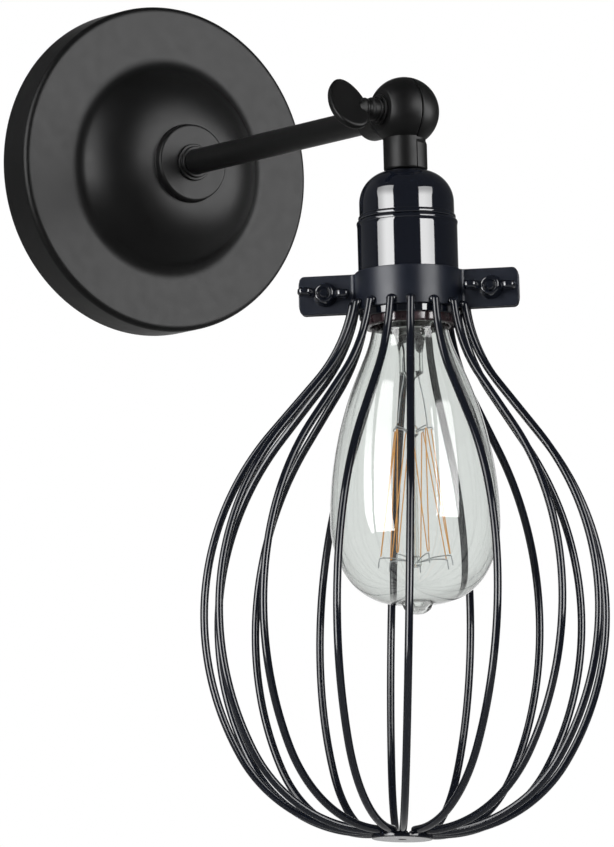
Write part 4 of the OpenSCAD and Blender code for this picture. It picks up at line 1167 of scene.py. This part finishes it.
class WALLLIGHT_OT_filament(bpy.types.Operator):
    """Makes the lamp's glass stem, wire hooks and golden zigzag filament"""

    bl_idname = "wall_light.filament"
    bl_label = "Stem, hooks and filament"

    def execute(self, context):
        h = sizes("holder")
        z = holder_levels()
        stem = soften(
            [
                (0, z.lamp_rim + 1, 0),
                (11.6, z.lamp_rim + 1, 0.4),
                (11.6, z.lamp_rim, 0.4),
                (6.4, z.lamp_rim - 5, 5),
                (4.6, z.stem + 9, 6),
                (4.6, z.stem + 0.8, 0.8),
                (1.3, z.stem - 1.5, 1.2),
                (1.2, z.hook_top + 2.2, 0.5),
                (2.1, z.hook_top + 1.2, 0.7),
                (2.1, z.hook_top - 1.2, 0.7),
                (1.2, z.hook_top - 2.2, 0.5),
                (1.2, z.hook_low + 2.2, 0.5),
                (2.1, z.hook_low + 1.2, 0.7),
                (2.1, z.hook_low - 1.2, 0.7),
                (1.1, z.hook_low - 2, 0.8),
                (0, z.hook_low - 2.2, 0),
            ],
            closed=False,
            steps=4,
        )
        pressed = turned(stem, count=48, closed=False)
        head_piece("lamp_stem_pressed", [pressed], "bulb", "stem_glass", "bulb_stem", 60)

        # each hook as (radius, rise over its ring's level), and the two leads as (x, height)
        low_r, top_r, hook_wire_r = h.hook_low_r, h.hook_top_r, 0.24
        low = [(1.6, 0), (7.5, 1.4), (low_r - 0.4, 1.6), (low_r + 0.4, 0.4), (low_r + 0.8, -2)]
        top = [(1.6, 0), (4.6, 1.1), (top_r - 0.3, 1.6), (top_r + 0.2, 0.7)]
        lead = [(3.2, z.stem + 6), (3.4, z.stem - 1), (5.2, z.stem - 9), (6.6, z.hook_top + 3)]
        hooks, wires = 7, []
        pitch = 360 / hooks
        for i in range(hooks):
            wires.append([on_ring(r, pitch * i, z.hook_low + rise) for r, rise in low])
            wires.append([on_ring(r, pitch * (i + 0.5), z.hook_top + rise) for r, rise in top])
        for side in (-1, 1):
            wires.append([(side * x, 0, level) for x, level in lead])
        shells = []
        for points in wires:
            path, radii = round_ends(smooth_route(points), hook_wire_r, steps=3)
            shells.append(tube(path, radii, (0.13, 0.29, 0.95), 8))
        head_piece("lamp_hooks", shells, "bulb", "zinc", "bulb_supports", 60)

        # the filament runs from hook to hook, low and high in turn, bent round each
        pts = []
        for i in range(hooks):
            pts.append(on_ring(low_r - 0.2, pitch * i, z.hook_low + 2.0))
            pts.append(on_ring(top_r - 0.5, pitch * (i + 0.5), z.hook_top + 0.8))
        pts = np.array(pts)
        route = [pts[:1]]
        for before, hook, after in zip(pts[:-2], pts[1:-1], pts[2:]):
            u, v = before - hook, after - hook
            u, v = u / np.linalg.norm(u), v / np.linalg.norm(v)
            w = (before - after) / np.linalg.norm(before - after) * 0.3
            coming = [hook + 1.0 * u + w, hook + 0.35 * u + 0.7 * w]
            going = [hook + 0.35 * v - 0.7 * w, hook + 1.0 * v - w]
            route.append(np.array(coming + going))
        route.append(pts[-1:])
        path, radii = round_ends(np.concatenate(route), h.strand_r, steps=2)
        strand = tube(path, radii, (0.31, 0.17, 0.02), 8)
        head_piece("lamp_filament_zigzag", [strand], "bulb", "filament", "bulb_filament", 70)
        return {"FINISHED"}


# ---------------------------------------------------------------- clamp and guard


def half_band_line(g, shell_r):
    """Plan of one half of the clamp at the middle of its sheet, from the right ear's tip:
    ear, bend, half round, bend and left ear."""
    inner = shell_r + g.band_gap
    mid, outer = inner + g.band_t / 2, inner + g.band_t
    ear_in = g.ear_gap / 2
    ear_mid, ear_out = ear_in + g.band_t / 2, ear_in + g.band_t
    bend_y = ear_out + g.bend_r
    bend_x = math.sqrt((outer + g.bend_r) ** 2 - bend_y**2)
    lean = math.degrees(math.atan2(bend_y, bend_x))
    tip = g.ear_reach - g.ear_round * (1 - np.sin(np.radians(np.linspace(90, 0, 9))))
    right = np.concatenate(
        [
            np.column_stack([tip, np.full(len(tip), ear_mid)]),
            [(g.bolt_x, ear_mid), (bend_x + 0.4, ear_mid)],
            arc((bend_x, bend_y), g.bend_r + g.band_t / 2, -90, -180 + lean, 10),
        ]
    )
    ring = arc((0, 0), mid, lean, 180 - lean, 72)
    left = right[::-1] * np.array([-1, 1])
    return np.concatenate([right, ring[1:-1], left])


def strip(line, height, thickness, edge, corner, reach):
    """A strip of sheet along a plan line. At each point its section is a rectangle of
    thickness by height with rounded edges. Near the tips, x beyond reach - corner, the half
    height follows the corner's circle, H - c + sqrt(c^2 - (x - (reach - c))^2)."""
    d = np.gradient(line, axis=0)
    d /= np.linalg.norm(d, axis=1, keepdims=True)
    normal = np.column_stack([-d[:, 1], d[:, 0]])
    over = np.clip(np.abs(line[:, 0]) - (reach - corner), 0, corner)
    half = height / 2 - corner + np.sqrt(np.maximum(corner**2 - over**2, 0))
    a = np.radians(np.arange(0, 91, 22.5))
    quarter = np.column_stack([thickness / 2 - edge + edge * np.cos(a), edge * np.sin(a) - edge])
    sides = []
    for su, sw, flip in ((1, 1, 1), (-1, 1, -1), (-1, -1, 1), (1, -1, -1)):
        q = quarter[::flip]
        sides.append(np.column_stack([su * q[:, 0], np.full(len(q), sw), sw * q[:, 1]]))
    rows = []
    for i in range(4):
        rows.append(sides[i])
        if i in (1, 3):
            u, sign = sides[i][-1, :2]
            rows.append(np.array([[u, sign * k, 0] for k in (0.93, 0.5, -0.5, -0.93)]))
    section = np.concatenate(rows)
    u, w, dw = section.T
    pts = np.empty((len(line), len(section), 3))
    pts[..., :2] = line[:, None] + normal[:, None] * u[None, :, None]
    pts[..., 2] = w[None] * half[:, None] + dw[None]
    # both tips are closed by the end section drawn in to scale k and moved out by m
    closing = []
    for row, way in ((pts[:1], -d[0]), (pts[-1:], d[-1])):
        middle = row.mean(1, keepdims=True)
        steps = ((0.0, edge), (0.72, edge), (0.93, edge * 0.6))
        closing.append([middle + (row - middle) * k + np.append(way * m, 0) for k, m in steps])
    grid = np.concatenate(closing[0] + [pts] + closing[1][::-1])
    return grid.reshape(-1, 3), grid_quads(len(grid), len(section))


class WALLLIGHT_OT_clamp(bpy.types.Operator):
    """Makes the two halves of the clamp band with their ears"""

    bl_idname = "wall_light.clamp"
    bl_label = "Clamp band"

    def execute(self, context):
        g = sizes("guard")
        z = holder_levels()
        line = half_band_line(g, z.shell_r)
        edge = 0.3
        shell = strip(line, g.band_h, g.band_t, edge, g.ear_round, g.ear_reach)
        for side, extra in (("rear", 0), ("front", 180)):
            half = placed(shell, about_z(g.clamp_turn + extra), (0, 0, z.band_mid))
            head_piece("band_" + side, [half], "cage", "band", "clamp_band_" + side, 50)
        return {"FINISHED"}


def hexagon(across, corner=0.35):
    """A hexagon with slightly rounded corners, across flats."""
    r = across / math.sqrt(3)
    a = np.radians(np.arange(0, 360, 60))
    return soften([(r * math.cos(t), r * math.sin(t), corner) for t in a], steps=3)


def wing_outline(g):
    """One wing of a wing nut, seen from the front along its flat side: x outwards, y away
    from the ear. A slim root, a waist and a round tip."""
    tip = 2.3
    rise = g.wing_hub_h + g.wing_rise
    end = g.wing_span / 2
    return soften(
        [
            (g.bolt_r + 0.7, 0.7, 0.3),
            (g.wing_foot_r + 0.4, 0.7, 1.2),
            (end - 0.4, rise - 2 * tip - 0.1, 1.6),
            (end + 0.05, rise - tip, 1.5),
            (end - 0.7, rise, 1.6),
            (end - 2 * tip, rise - 0.2, 1.8),
            (g.bolt_r + 1.6, g.wing_hub_h - 0.6, 1.2),
            (g.bolt_r + 0.7, g.wing_hub_h - 0.9, 0.3),
        ],
        steps=5,
    )


def wing_nut_shells(g):
    """Wing nut about z, with its foot at z = 0: hub with a bored top, and two wings."""
    bore = g.bolt_r + 0.08
    hub = soften(
        [
            (bore, 0, 0.1),
            (g.wing_foot_r, 0, 0.25),
            (g.wing_foot_r - 0.15, 1.1, 0.5),
            (g.bolt_r + 1.5, g.wing_hub_h - 0.2, 0.5),
            (g.bolt_r + 1.0, g.wing_hub_h, 0.3),
            (bore + 0.3, g.wing_hub_h, 0.15),
            (bore, g.wing_hub_h - 0.35, 0.1),
        ],
        steps=5,
    )
    shells = [turned(hub, count=64)]
    edge = 1.1
    pts, quads = plate(wing_outline(g), g.wing_t, edge)
    for side in (1, -1):
        # the plate's own z goes to -y, which stands its outline up along z
        shells.append(placed((pts * np.array([side, 1, 1]), quads), OUT_OF_WALL))
    return shells


class WALLLIGHT_OT_wing_nuts(bpy.types.Operator):
    """Makes the clamp's two bolts and their wing nuts"""

    bl_idname = "wall_light.wing_nuts"
    bl_label = "Bolts and wing nuts"

    def execute(self, context):
        g = sizes("guard")
        z = holder_levels()
        ear_out = g.ear_gap / 2 + g.band_t
        foot = ear_out + 0.1
        end = foot + g.wing_hub_h + 0.6
        thread, depth, head_h = 0.7, 0.11, 2.8
        place = about_z(g.clamp_turn)
        front = -place[1]
        # a bolt's axes: x along the ears, z out of the front ear
        level = np.array([place[0], np.cross(front, place[0]), front])
        t = np.linspace(-ear_out, end - 0.7, 89)
        r = g.bolt_r - depth + depth * np.cos(2 * np.pi * t / thread)
        shank = np.concatenate(
            [
                [(0, -ear_out - 0.4), (g.bolt_r - 0.2, -ear_out - 0.4)],
                np.column_stack([r, t]),
                [
                    (g.bolt_r - 0.25, end - 0.45),
                    (g.bolt_r - 0.75, end),
                    (g.bolt_r - 0.95, end),
                    (0, end),
                ],
            ]
        )
        bolts = []
        for side, node, lean in ((-1, "wing_nut_left", 5), (1, "wing_nut_right", 3)):
            middle = np.array([0, 0, z.band_mid]) + side * g.bolt_x * place[0]
            a = math.radians(-lean)
            along = math.cos(a) * place[0] + math.sin(a) * UPRIGHT[2]
            axes = np.array([along, np.cross(front, along), front])
            nut = [placed(s, axes, middle + front * foot) for s in wing_nut_shells(g)]
            head_piece(node + "_cast", nut, node, "enamel", node, 50)
            bolts.append(placed(turned(shank, count=40, closed=False), level, middle))
            head = plate(hexagon(g.bolt_r * 3.5), head_h, 0.35)
            bolts.append(placed(head, level, middle - front * (ear_out + head_h / 2)))
        head_piece("clamp_bolts_hex", bolts, "cage", "enamel", "clamp_bolts", 35)
        return {"FINISHED"}


def guard_levels(g, z):
    """Derived places of a guard wire in its own upright plane, (r, z) about the holder's axis."""
    u, l, n = (math.radians(v) for v in (g.upper_turn, g.lower_turn, g.neck_lean))
    band_out = z.shell_r + g.band_gap + g.band_t
    w = SimpleNamespace(weld_r=band_out + g.wire_r - 0.1)
    w.flank = (
        g.guard_r
        - g.upper_arc * (1 - math.cos(u))
        - g.neck_arc * (math.cos(n) - math.cos(u))
        - w.weld_r
    ) / math.sin(u)
    neck_drop = g.neck_arc * (math.sin(u) - math.sin(n))
    w.belt = z.weld - g.upper_arc * math.sin(u) - w.flank * math.cos(u) - neck_drop
    w.foot = w.belt - (g.lower_arc - g.bottom_arc) * math.sin(l) - g.bottom_arc
    w.disc_top = w.foot - g.wire_r + 0.35
    w.end_r = g.wires * (2 * g.wire_r + 0.5) / (2 * math.pi) + 0.1
    w.upper_c = np.array([g.guard_r - g.upper_arc, w.belt])
    w.upper_e = w.upper_c + g.upper_arc * np.array([math.cos(u), math.sin(u)])
    w.flank_e = w.upper_e + w.flank * np.array([-math.sin(u), math.cos(u)])
    w.neck_c = w.flank_e + g.neck_arc * np.array([math.cos(u), math.sin(u)])
    w.lower_c = np.array([g.guard_r - g.lower_arc, w.belt])
    w.bottom_c = w.lower_c + (g.lower_arc - g.bottom_arc) * np.array([math.cos(l), -math.sin(l)])
    return w


def in_guard(shell, g, z):
    """A shell of the guard, turned with the wires' common axis about its middle at the welds."""
    axes = about_z(-g.guard_lean_turn) @ leaning(g.guard_lean) @ about_z(g.guard_lean_turn)
    middle = np.array([0, 0, z.weld])
    return placed((shell[0] - middle, shell[1]), axes, middle)


def wire_line(g, w):
    """Centre line of a wire from the band to the disc: hollow neck bend, straight flank,
    upper, lower and bottom bends, and a short level foot, all tangent to each other."""
    neck = arc(w.neck_c, g.neck_arc, 180 + g.neck_lean, 180 + g.upper_turn, 14)
    flank = neck[-1] + (w.upper_e - neck[-1]) * np.array([[0.33], [0.66]])
    return np.concatenate(
        [
            neck,
            flank,
            arc(w.upper_c, g.upper_arc, g.upper_turn, 0, 26),
            arc(w.lower_c, g.lower_arc, 0, -g.lower_turn, 20)[1:],
            arc(w.bottom_c, g.bottom_arc, -g.lower_turn, -90, 26)[1:],
            [(w.end_r + 1.5, w.foot)],
        ]
    )


# How far each wire stands off its even place round the guard, in degrees.
UNEVEN = (-2, 1, 2, 2, 0, 2, -1, 0, 1, 0, 1, -1, 0, -2, -2, 0)


class WALLLIGHT_OT_guard_wires(bpy.types.Operator):
    """Makes the guard's bent wires with their welds on the band and the disc"""

    bl_idname = "wall_light.guard_wires"
    bl_label = "Guard wires"

    def execute(self, context):
        g = sizes("guard")
        z = holder_levels()
        w = guard_levels(g, z)
        line = wire_line(g, w)
        flat = np.column_stack([line[:, 0], np.zeros(len(line)), line[:, 1]])
        path, radii = round_ends(flat, g.wire_r, steps=5)
        wire = tube(path, radii, (0, 1, 0), 20)
        # a bead of weld at each end: its middle, then its three half widths
        seat = leaning(-g.neck_lean)
        weld = blob((w.weld_r - 0.75, 0, z.weld + 0.25), (1.25, 2.0, 1.7), seat)
        foot = blob((g.disc_r - 1.6, 0, w.disc_top + 0.25), (1.9, 1.95, 0.75))
        for i in range(g.wires):
            turn_by = g.wire_turn + 360 / g.wires * i + UNEVEN[i]
            shells = [in_guard(placed(s, about_z(turn_by)), g, z) for s in (wire, weld, foot)]
            head_piece(f"guard_wire_{i + 1}", shells, "cage", "wire", f"cage_wire_{i + 1}", 60)
        return {"FINISHED"}


class WALLLIGHT_OT_guard_disc(bpy.types.Operator):
    """Makes the disc that joins the wires at the guard's bottom"""

    bl_idname = "wall_light.guard_disc"
    bl_label = "Guard disc"

    def execute(self, context):
        g = sizes("guard")
        z = holder_levels()
        w = guard_levels(g, z)
        low = w.disc_top - g.disc_t
        hole = 1.5
        profile = ring_section(hole, g.disc_r, low, w.disc_top, (0.3, 0.45, 0.3, 0.3), steps=5)
        disc = in_guard(turned(profile, count=96), g, z)
        head_piece("guard_disc_pressed", [disc], "cage", "wire", "cage_disc")
        return {"FINISHED"}


# ---------------------------------------------------------------- hidden parts


class WALLLIGHT_OT_hidden_parts(bpy.types.Operator):
    """Gives the parts inside the canopy and the lampholder their own finishes"""

    bl_idname = "wall_light.hidden_parts"
    bl_label = "Parts inside"

    def execute(self, context):
        made = finishes_made()
        worn = {
            "zinc": [
                "mounting_bracket",
                "locknut_washer",
                "arm_locknut",
                "holder_nipple",
                "nipple_nut",
            ],
            "brass": ["terminal_screws", "screw_shell", "centre_contact", "holder_terminals"],
            "earth_screw": ["earth_screw"],
            "block": ["terminal_block"],
            "rubber": ["lead_bush"],
            "sleeve_dark": ["live_lead", "holder_live_lead"],
            "sleeve_light": ["neutral_lead", "holder_neutral_lead"],
            "sleeve_earth": ["earth_lead"],
            "lamp_cap": ["bulb_contact"],
            "vitrite": ["bulb_cap_insulator"],
        }
        for finish, nodes in worn.items():
            for node in nodes:
                for place in frame["nodes"][node].material_slots:
                    place.material = made[finish]
        return {"FINISHED"}


# ---------------------------------------------------------------- studio


# Corners of the soft sheets of light, in degrees round from the camera's direction and up.
# The last side of each panel is its dimmer, outer one.
LEFT_PANEL = ((-53, -30), (-25, -30), (-43, 48), (-90, 36))
RIGHT_PANEL = ((59.5, 4), (28, 4), (33, 42), (76.5, 38))
LEFT_WASH = ((-140, -20), (-140, 40), (-80, 40), (-80, -20))
ROOM_GLOSS = 0.1  # brightness that gloss finds all round, and of the wash on the left
AIM = (-17.2, -150.0, -115.73)  # the point that the camera looks at, in mm
FLOOR_R = 6  # metres
FLOOR_Z = -1.4  # metres; low enough to stay under a camera that looks up at the light


def unit_from(turn_by, rise):
    """Unit vector towards an azimuth (0 is -Y, 90 is +X) and an elevation, in radians."""
    return np.array(
        [
            math.sin(turn_by) * math.cos(rise),
            -math.cos(turn_by) * math.cos(rise),
            math.sin(rise),
        ]
    )


class World:
    """Small helper that writes the world's light as maths on the ray's direction."""

    def __init__(self):
        self.world = bpy.data.worlds.new("studio_world")
        self.world.use_nodes = True
        self.tree = self.world.node_tree
        self.tree.nodes.clear()
        self.way = self.tree.nodes.new("ShaderNodeTexCoord").outputs["Generated"]

    def put(self, value, into):
        if isinstance(value, (int, float)):
            into.default_value = value
        else:
            self.tree.links.new(value, into)

    def maths(self, operation, *values):
        node = self.tree.nodes.new("ShaderNodeMath")
        node.operation = operation
        for value, into in zip(values, node.inputs):
            self.put(value, into)
        return node.outputs[0]

    def along(self, vector):
        node = self.tree.nodes.new("ShaderNodeVectorMath")
        node.operation = "DOT_PRODUCT"
        self.tree.links.new(self.way, node.inputs[0])
        node.inputs[1].default_value = tuple(vector)
        return node.outputs["Value"]

    def ramp(self, value, start, stop):
        """0 below start, 1 above stop, smooth between."""
        node = self.tree.nodes.new("ShaderNodeMapRange")
        node.interpolation_type = "SMOOTHSTEP"
        node.inputs["From Min"].default_value = start
        node.inputs["From Max"].default_value = stop
        self.put(value, node.inputs["Value"])
        return node.outputs["Result"]

    def mix(self, share, one, other):
        """one where share is 0, other where it is 1."""
        rest = self.maths("MULTIPLY", self.maths("SUBTRACT", 1.0, share), one)
        return self.maths("MULTIPLY_ADD", share, other, rest)

    def sheet(self, view_turn, corners, falloff=0.0, soft=0.015):
        """1 inside a sheet of light, 0 outside. The corners are directions in turn, in degrees
        round from the camera and up. Each side is the plane through the object and two corners,
        and the sheet dims by falloff towards its last side, over half its width."""
        ways = [unit_from(view_turn + math.radians(a), math.radians(e)) for a, e in corners]
        middle = sum(ways)
        mask = 1.0
        for one, other in zip(ways, ways[1:] + ways[:1]):
            side = np.cross(one, other)
            side *= np.sign(side @ middle) / np.linalg.norm(side)
            depth = self.along(side)
            mask = self.maths("MULTIPLY", mask, self.ramp(depth, -soft, soft))
        bright = self.maths("MULTIPLY_ADD", self.ramp(depth, 0.0, 0.4), falloff, 1 - falloff)
        return self.maths("MULTIPLY", mask, bright)


class WALLLIGHT_OT_studio(bpy.types.Operator):
    """Makes the camera, the floor and the studio's light"""

    bl_idname = "wall_light.studio"
    bl_label = "Studio"

    def execute(self, context):
        scene = context.scene
        s = scene.wall_light_studio
        aim = np.array(AIM) / 1000
        back = unit_from(s.view_turn, s.view_rise)
        data = bpy.data.cameras.new("view")
        data.sensor_width = 36.0
        data.sensor_fit = "HORIZONTAL"
        data.lens = s.lens_mm
        data.clip_start = 0.05
        data.clip_end = 30.0
        camera = bpy.data.objects.new("view", data)
        camera.location = Vector(aim + back * s.view_range)
        camera.rotation_euler = Vector(-back).to_track_quat("-Z", "Y").to_euler()
        scene.collection.objects.link(camera)
        scene.camera = camera
        scene.view_settings.view_transform = "Standard"

        world = World()
        left = world.sheet(s.view_turn, LEFT_PANEL, 0.45)
        right = world.sheet(s.view_turn, RIGHT_PANEL, 0.2)
        wash = world.sheet(s.view_turn, LEFT_WASH, 0.0, 0.1)
        panels = world.maths("ADD", left, right)
        height = world.ramp(world.along((0, 0, 1)), 0.15, 0.6)
        dimmed = world.maths("MULTIPLY_ADD", height, -0.55, 1.0)
        panels = world.maths("MULTIPLY", panels, dimmed)
        behind = world.ramp(world.along(unit_from(s.view_turn + math.pi, -s.view_rise)), 0.93, 0.99)
        glossy = world.maths("MULTIPLY_ADD", panels, s.panel_gloss, ROOM_GLOSS)
        glossy = world.maths("MULTIPLY_ADD", wash, ROOM_GLOSS, glossy)
        glossy = world.maths("MULTIPLY_ADD", behind, 1 - ROOM_GLOSS, glossy)
        plain = world.maths("MULTIPLY_ADD", panels, s.panel_light, s.room_light)
        ray = world.tree.nodes.new("ShaderNodeLightPath").outputs
        light = world.mix(ray["Is Glossy Ray"], plain, glossy)
        seen = world.maths("MAXIMUM", ray["Is Camera Ray"], ray["Is Transmission Ray"])
        light = world.mix(seen, light, 1.0)
        ground = world.tree.nodes.new("ShaderNodeBackground")
        ground.inputs["Color"].default_value = (1, 1, 1, 1)
        out = world.tree.nodes.new("ShaderNodeOutputWorld")
        world.put(light, ground.inputs["Strength"])
        world.tree.links.new(ground.outputs[0], out.inputs["Surface"])
        world.world.cycles.sampling_method = "NONE"
        scene.world = world.world

        # a broad side light, flagged off the glossy lamp head, for the powder coat's soft sheen
        side = bpy.data.objects.new("side_light", bpy.data.lights.new("side_light", "SUN"))
        side.data.energy = s.side_gloss
        side.data.angle = s.side_size
        towards = Vector(unit_from(s.view_turn + s.side_turn, s.side_rise))
        side.rotation_euler = towards.to_track_quat("Z", "Y").to_euler()
        side.visible_diffuse = False
        side.visible_transmission = False
        side.light_linking.receiver_collection = bpy.data.collections.new("side_lit")
        scene.collection.objects.link(side)

        mesh = bpy.data.meshes.new("floor")
        a = np.linspace(0, 2 * np.pi, 96, endpoint=False)
        ring = np.column_stack([FLOOR_R * np.cos(a), FLOOR_R * np.sin(a), np.full(96, FLOOR_Z)])
        mesh.from_pydata(ring.tolist(), [], [list(range(96))])
        floor = bpy.data.objects.new("floor", mesh)
        f = Finish("pale_floor", (0.8, 0.8, 0.79), 0.8)
        f.mottle(f.noise(3, 3), (0.79, 0.79, 0.78), (0.82, 0.82, 0.81))
        mesh.materials.append(f.material)
        scene.collection.objects.link(floor)
        return {"FINISHED"}


# ---------------------------------------------------------------- panel and registration

# In the order in which they are called.
OPERATORS = (
    WALLLIGHT_OT_studio,
    WALLLIGHT_OT_canopy,
    WALLLIGHT_OT_arm,
    WALLLIGHT_OT_knuckle,
    WALLLIGHT_OT_thumb_screw,
    WALLLIGHT_OT_lampholder,
    WALLLIGHT_OT_lamp,
    WALLLIGHT_OT_filament,
    WALLLIGHT_OT_clamp,
    WALLLIGHT_OT_wing_nuts,
    WALLLIGHT_OT_guard_wires,
    WALLLIGHT_OT_guard_disc,
    WALLLIGHT_OT_hidden_parts,
)


class WALLLIGHT_PT_panel(bpy.types.Panel):
    """Lists the light's pieces and its sizes"""

    bl_idname = "WALLLIGHT_PT_panel"
    bl_label = "Cage wall light"
    bl_space_type = "VIEW_3D"
    bl_region_type = "UI"
    bl_category = "Wall light"

    def draw(self, context):
        column = self.layout.column(align=True)
        for kind in OPERATORS:
            column.operator(kind.bl_idname)
        for group, _ in GROUPS:
            box = self.layout.box()
            owner = getattr(context.scene, group)
            for key in type(owner).__annotations__:
                box.prop(owner, key)


GROUPS = (
    ("wall_light_wall_side", WallSideSizes),
    ("wall_light_knuckle", KnuckleSizes),
    ("wall_light_holder", HolderSizes),
    ("wall_light_guard", GuardSizes),
    ("wall_light_finishes", Finishes),
    ("wall_light_studio", StudioSettings),
)

CLASSES = tuple(kind for _, kind in GROUPS) + OPERATORS + (WALLLIGHT_PT_panel,)


def register():
    for kind in CLASSES:
        bpy.utils.register_class(kind)
    for name, kind in GROUPS:
        setattr(bpy.types.Scene, name, PointerProperty(type=kind))


def unregister():
    for name, _ in GROUPS:
        delattr(bpy.types.Scene, name)
    for kind in reversed(CLASSES):
        bpy.utils.unregister_class(kind)


def main():
    register()
    for kind in OPERATORS:
        group, name = kind.bl_idname.split(".")
        getattr(getattr(bpy.ops, group), name)()


if __name__ == "__main__":
    main()
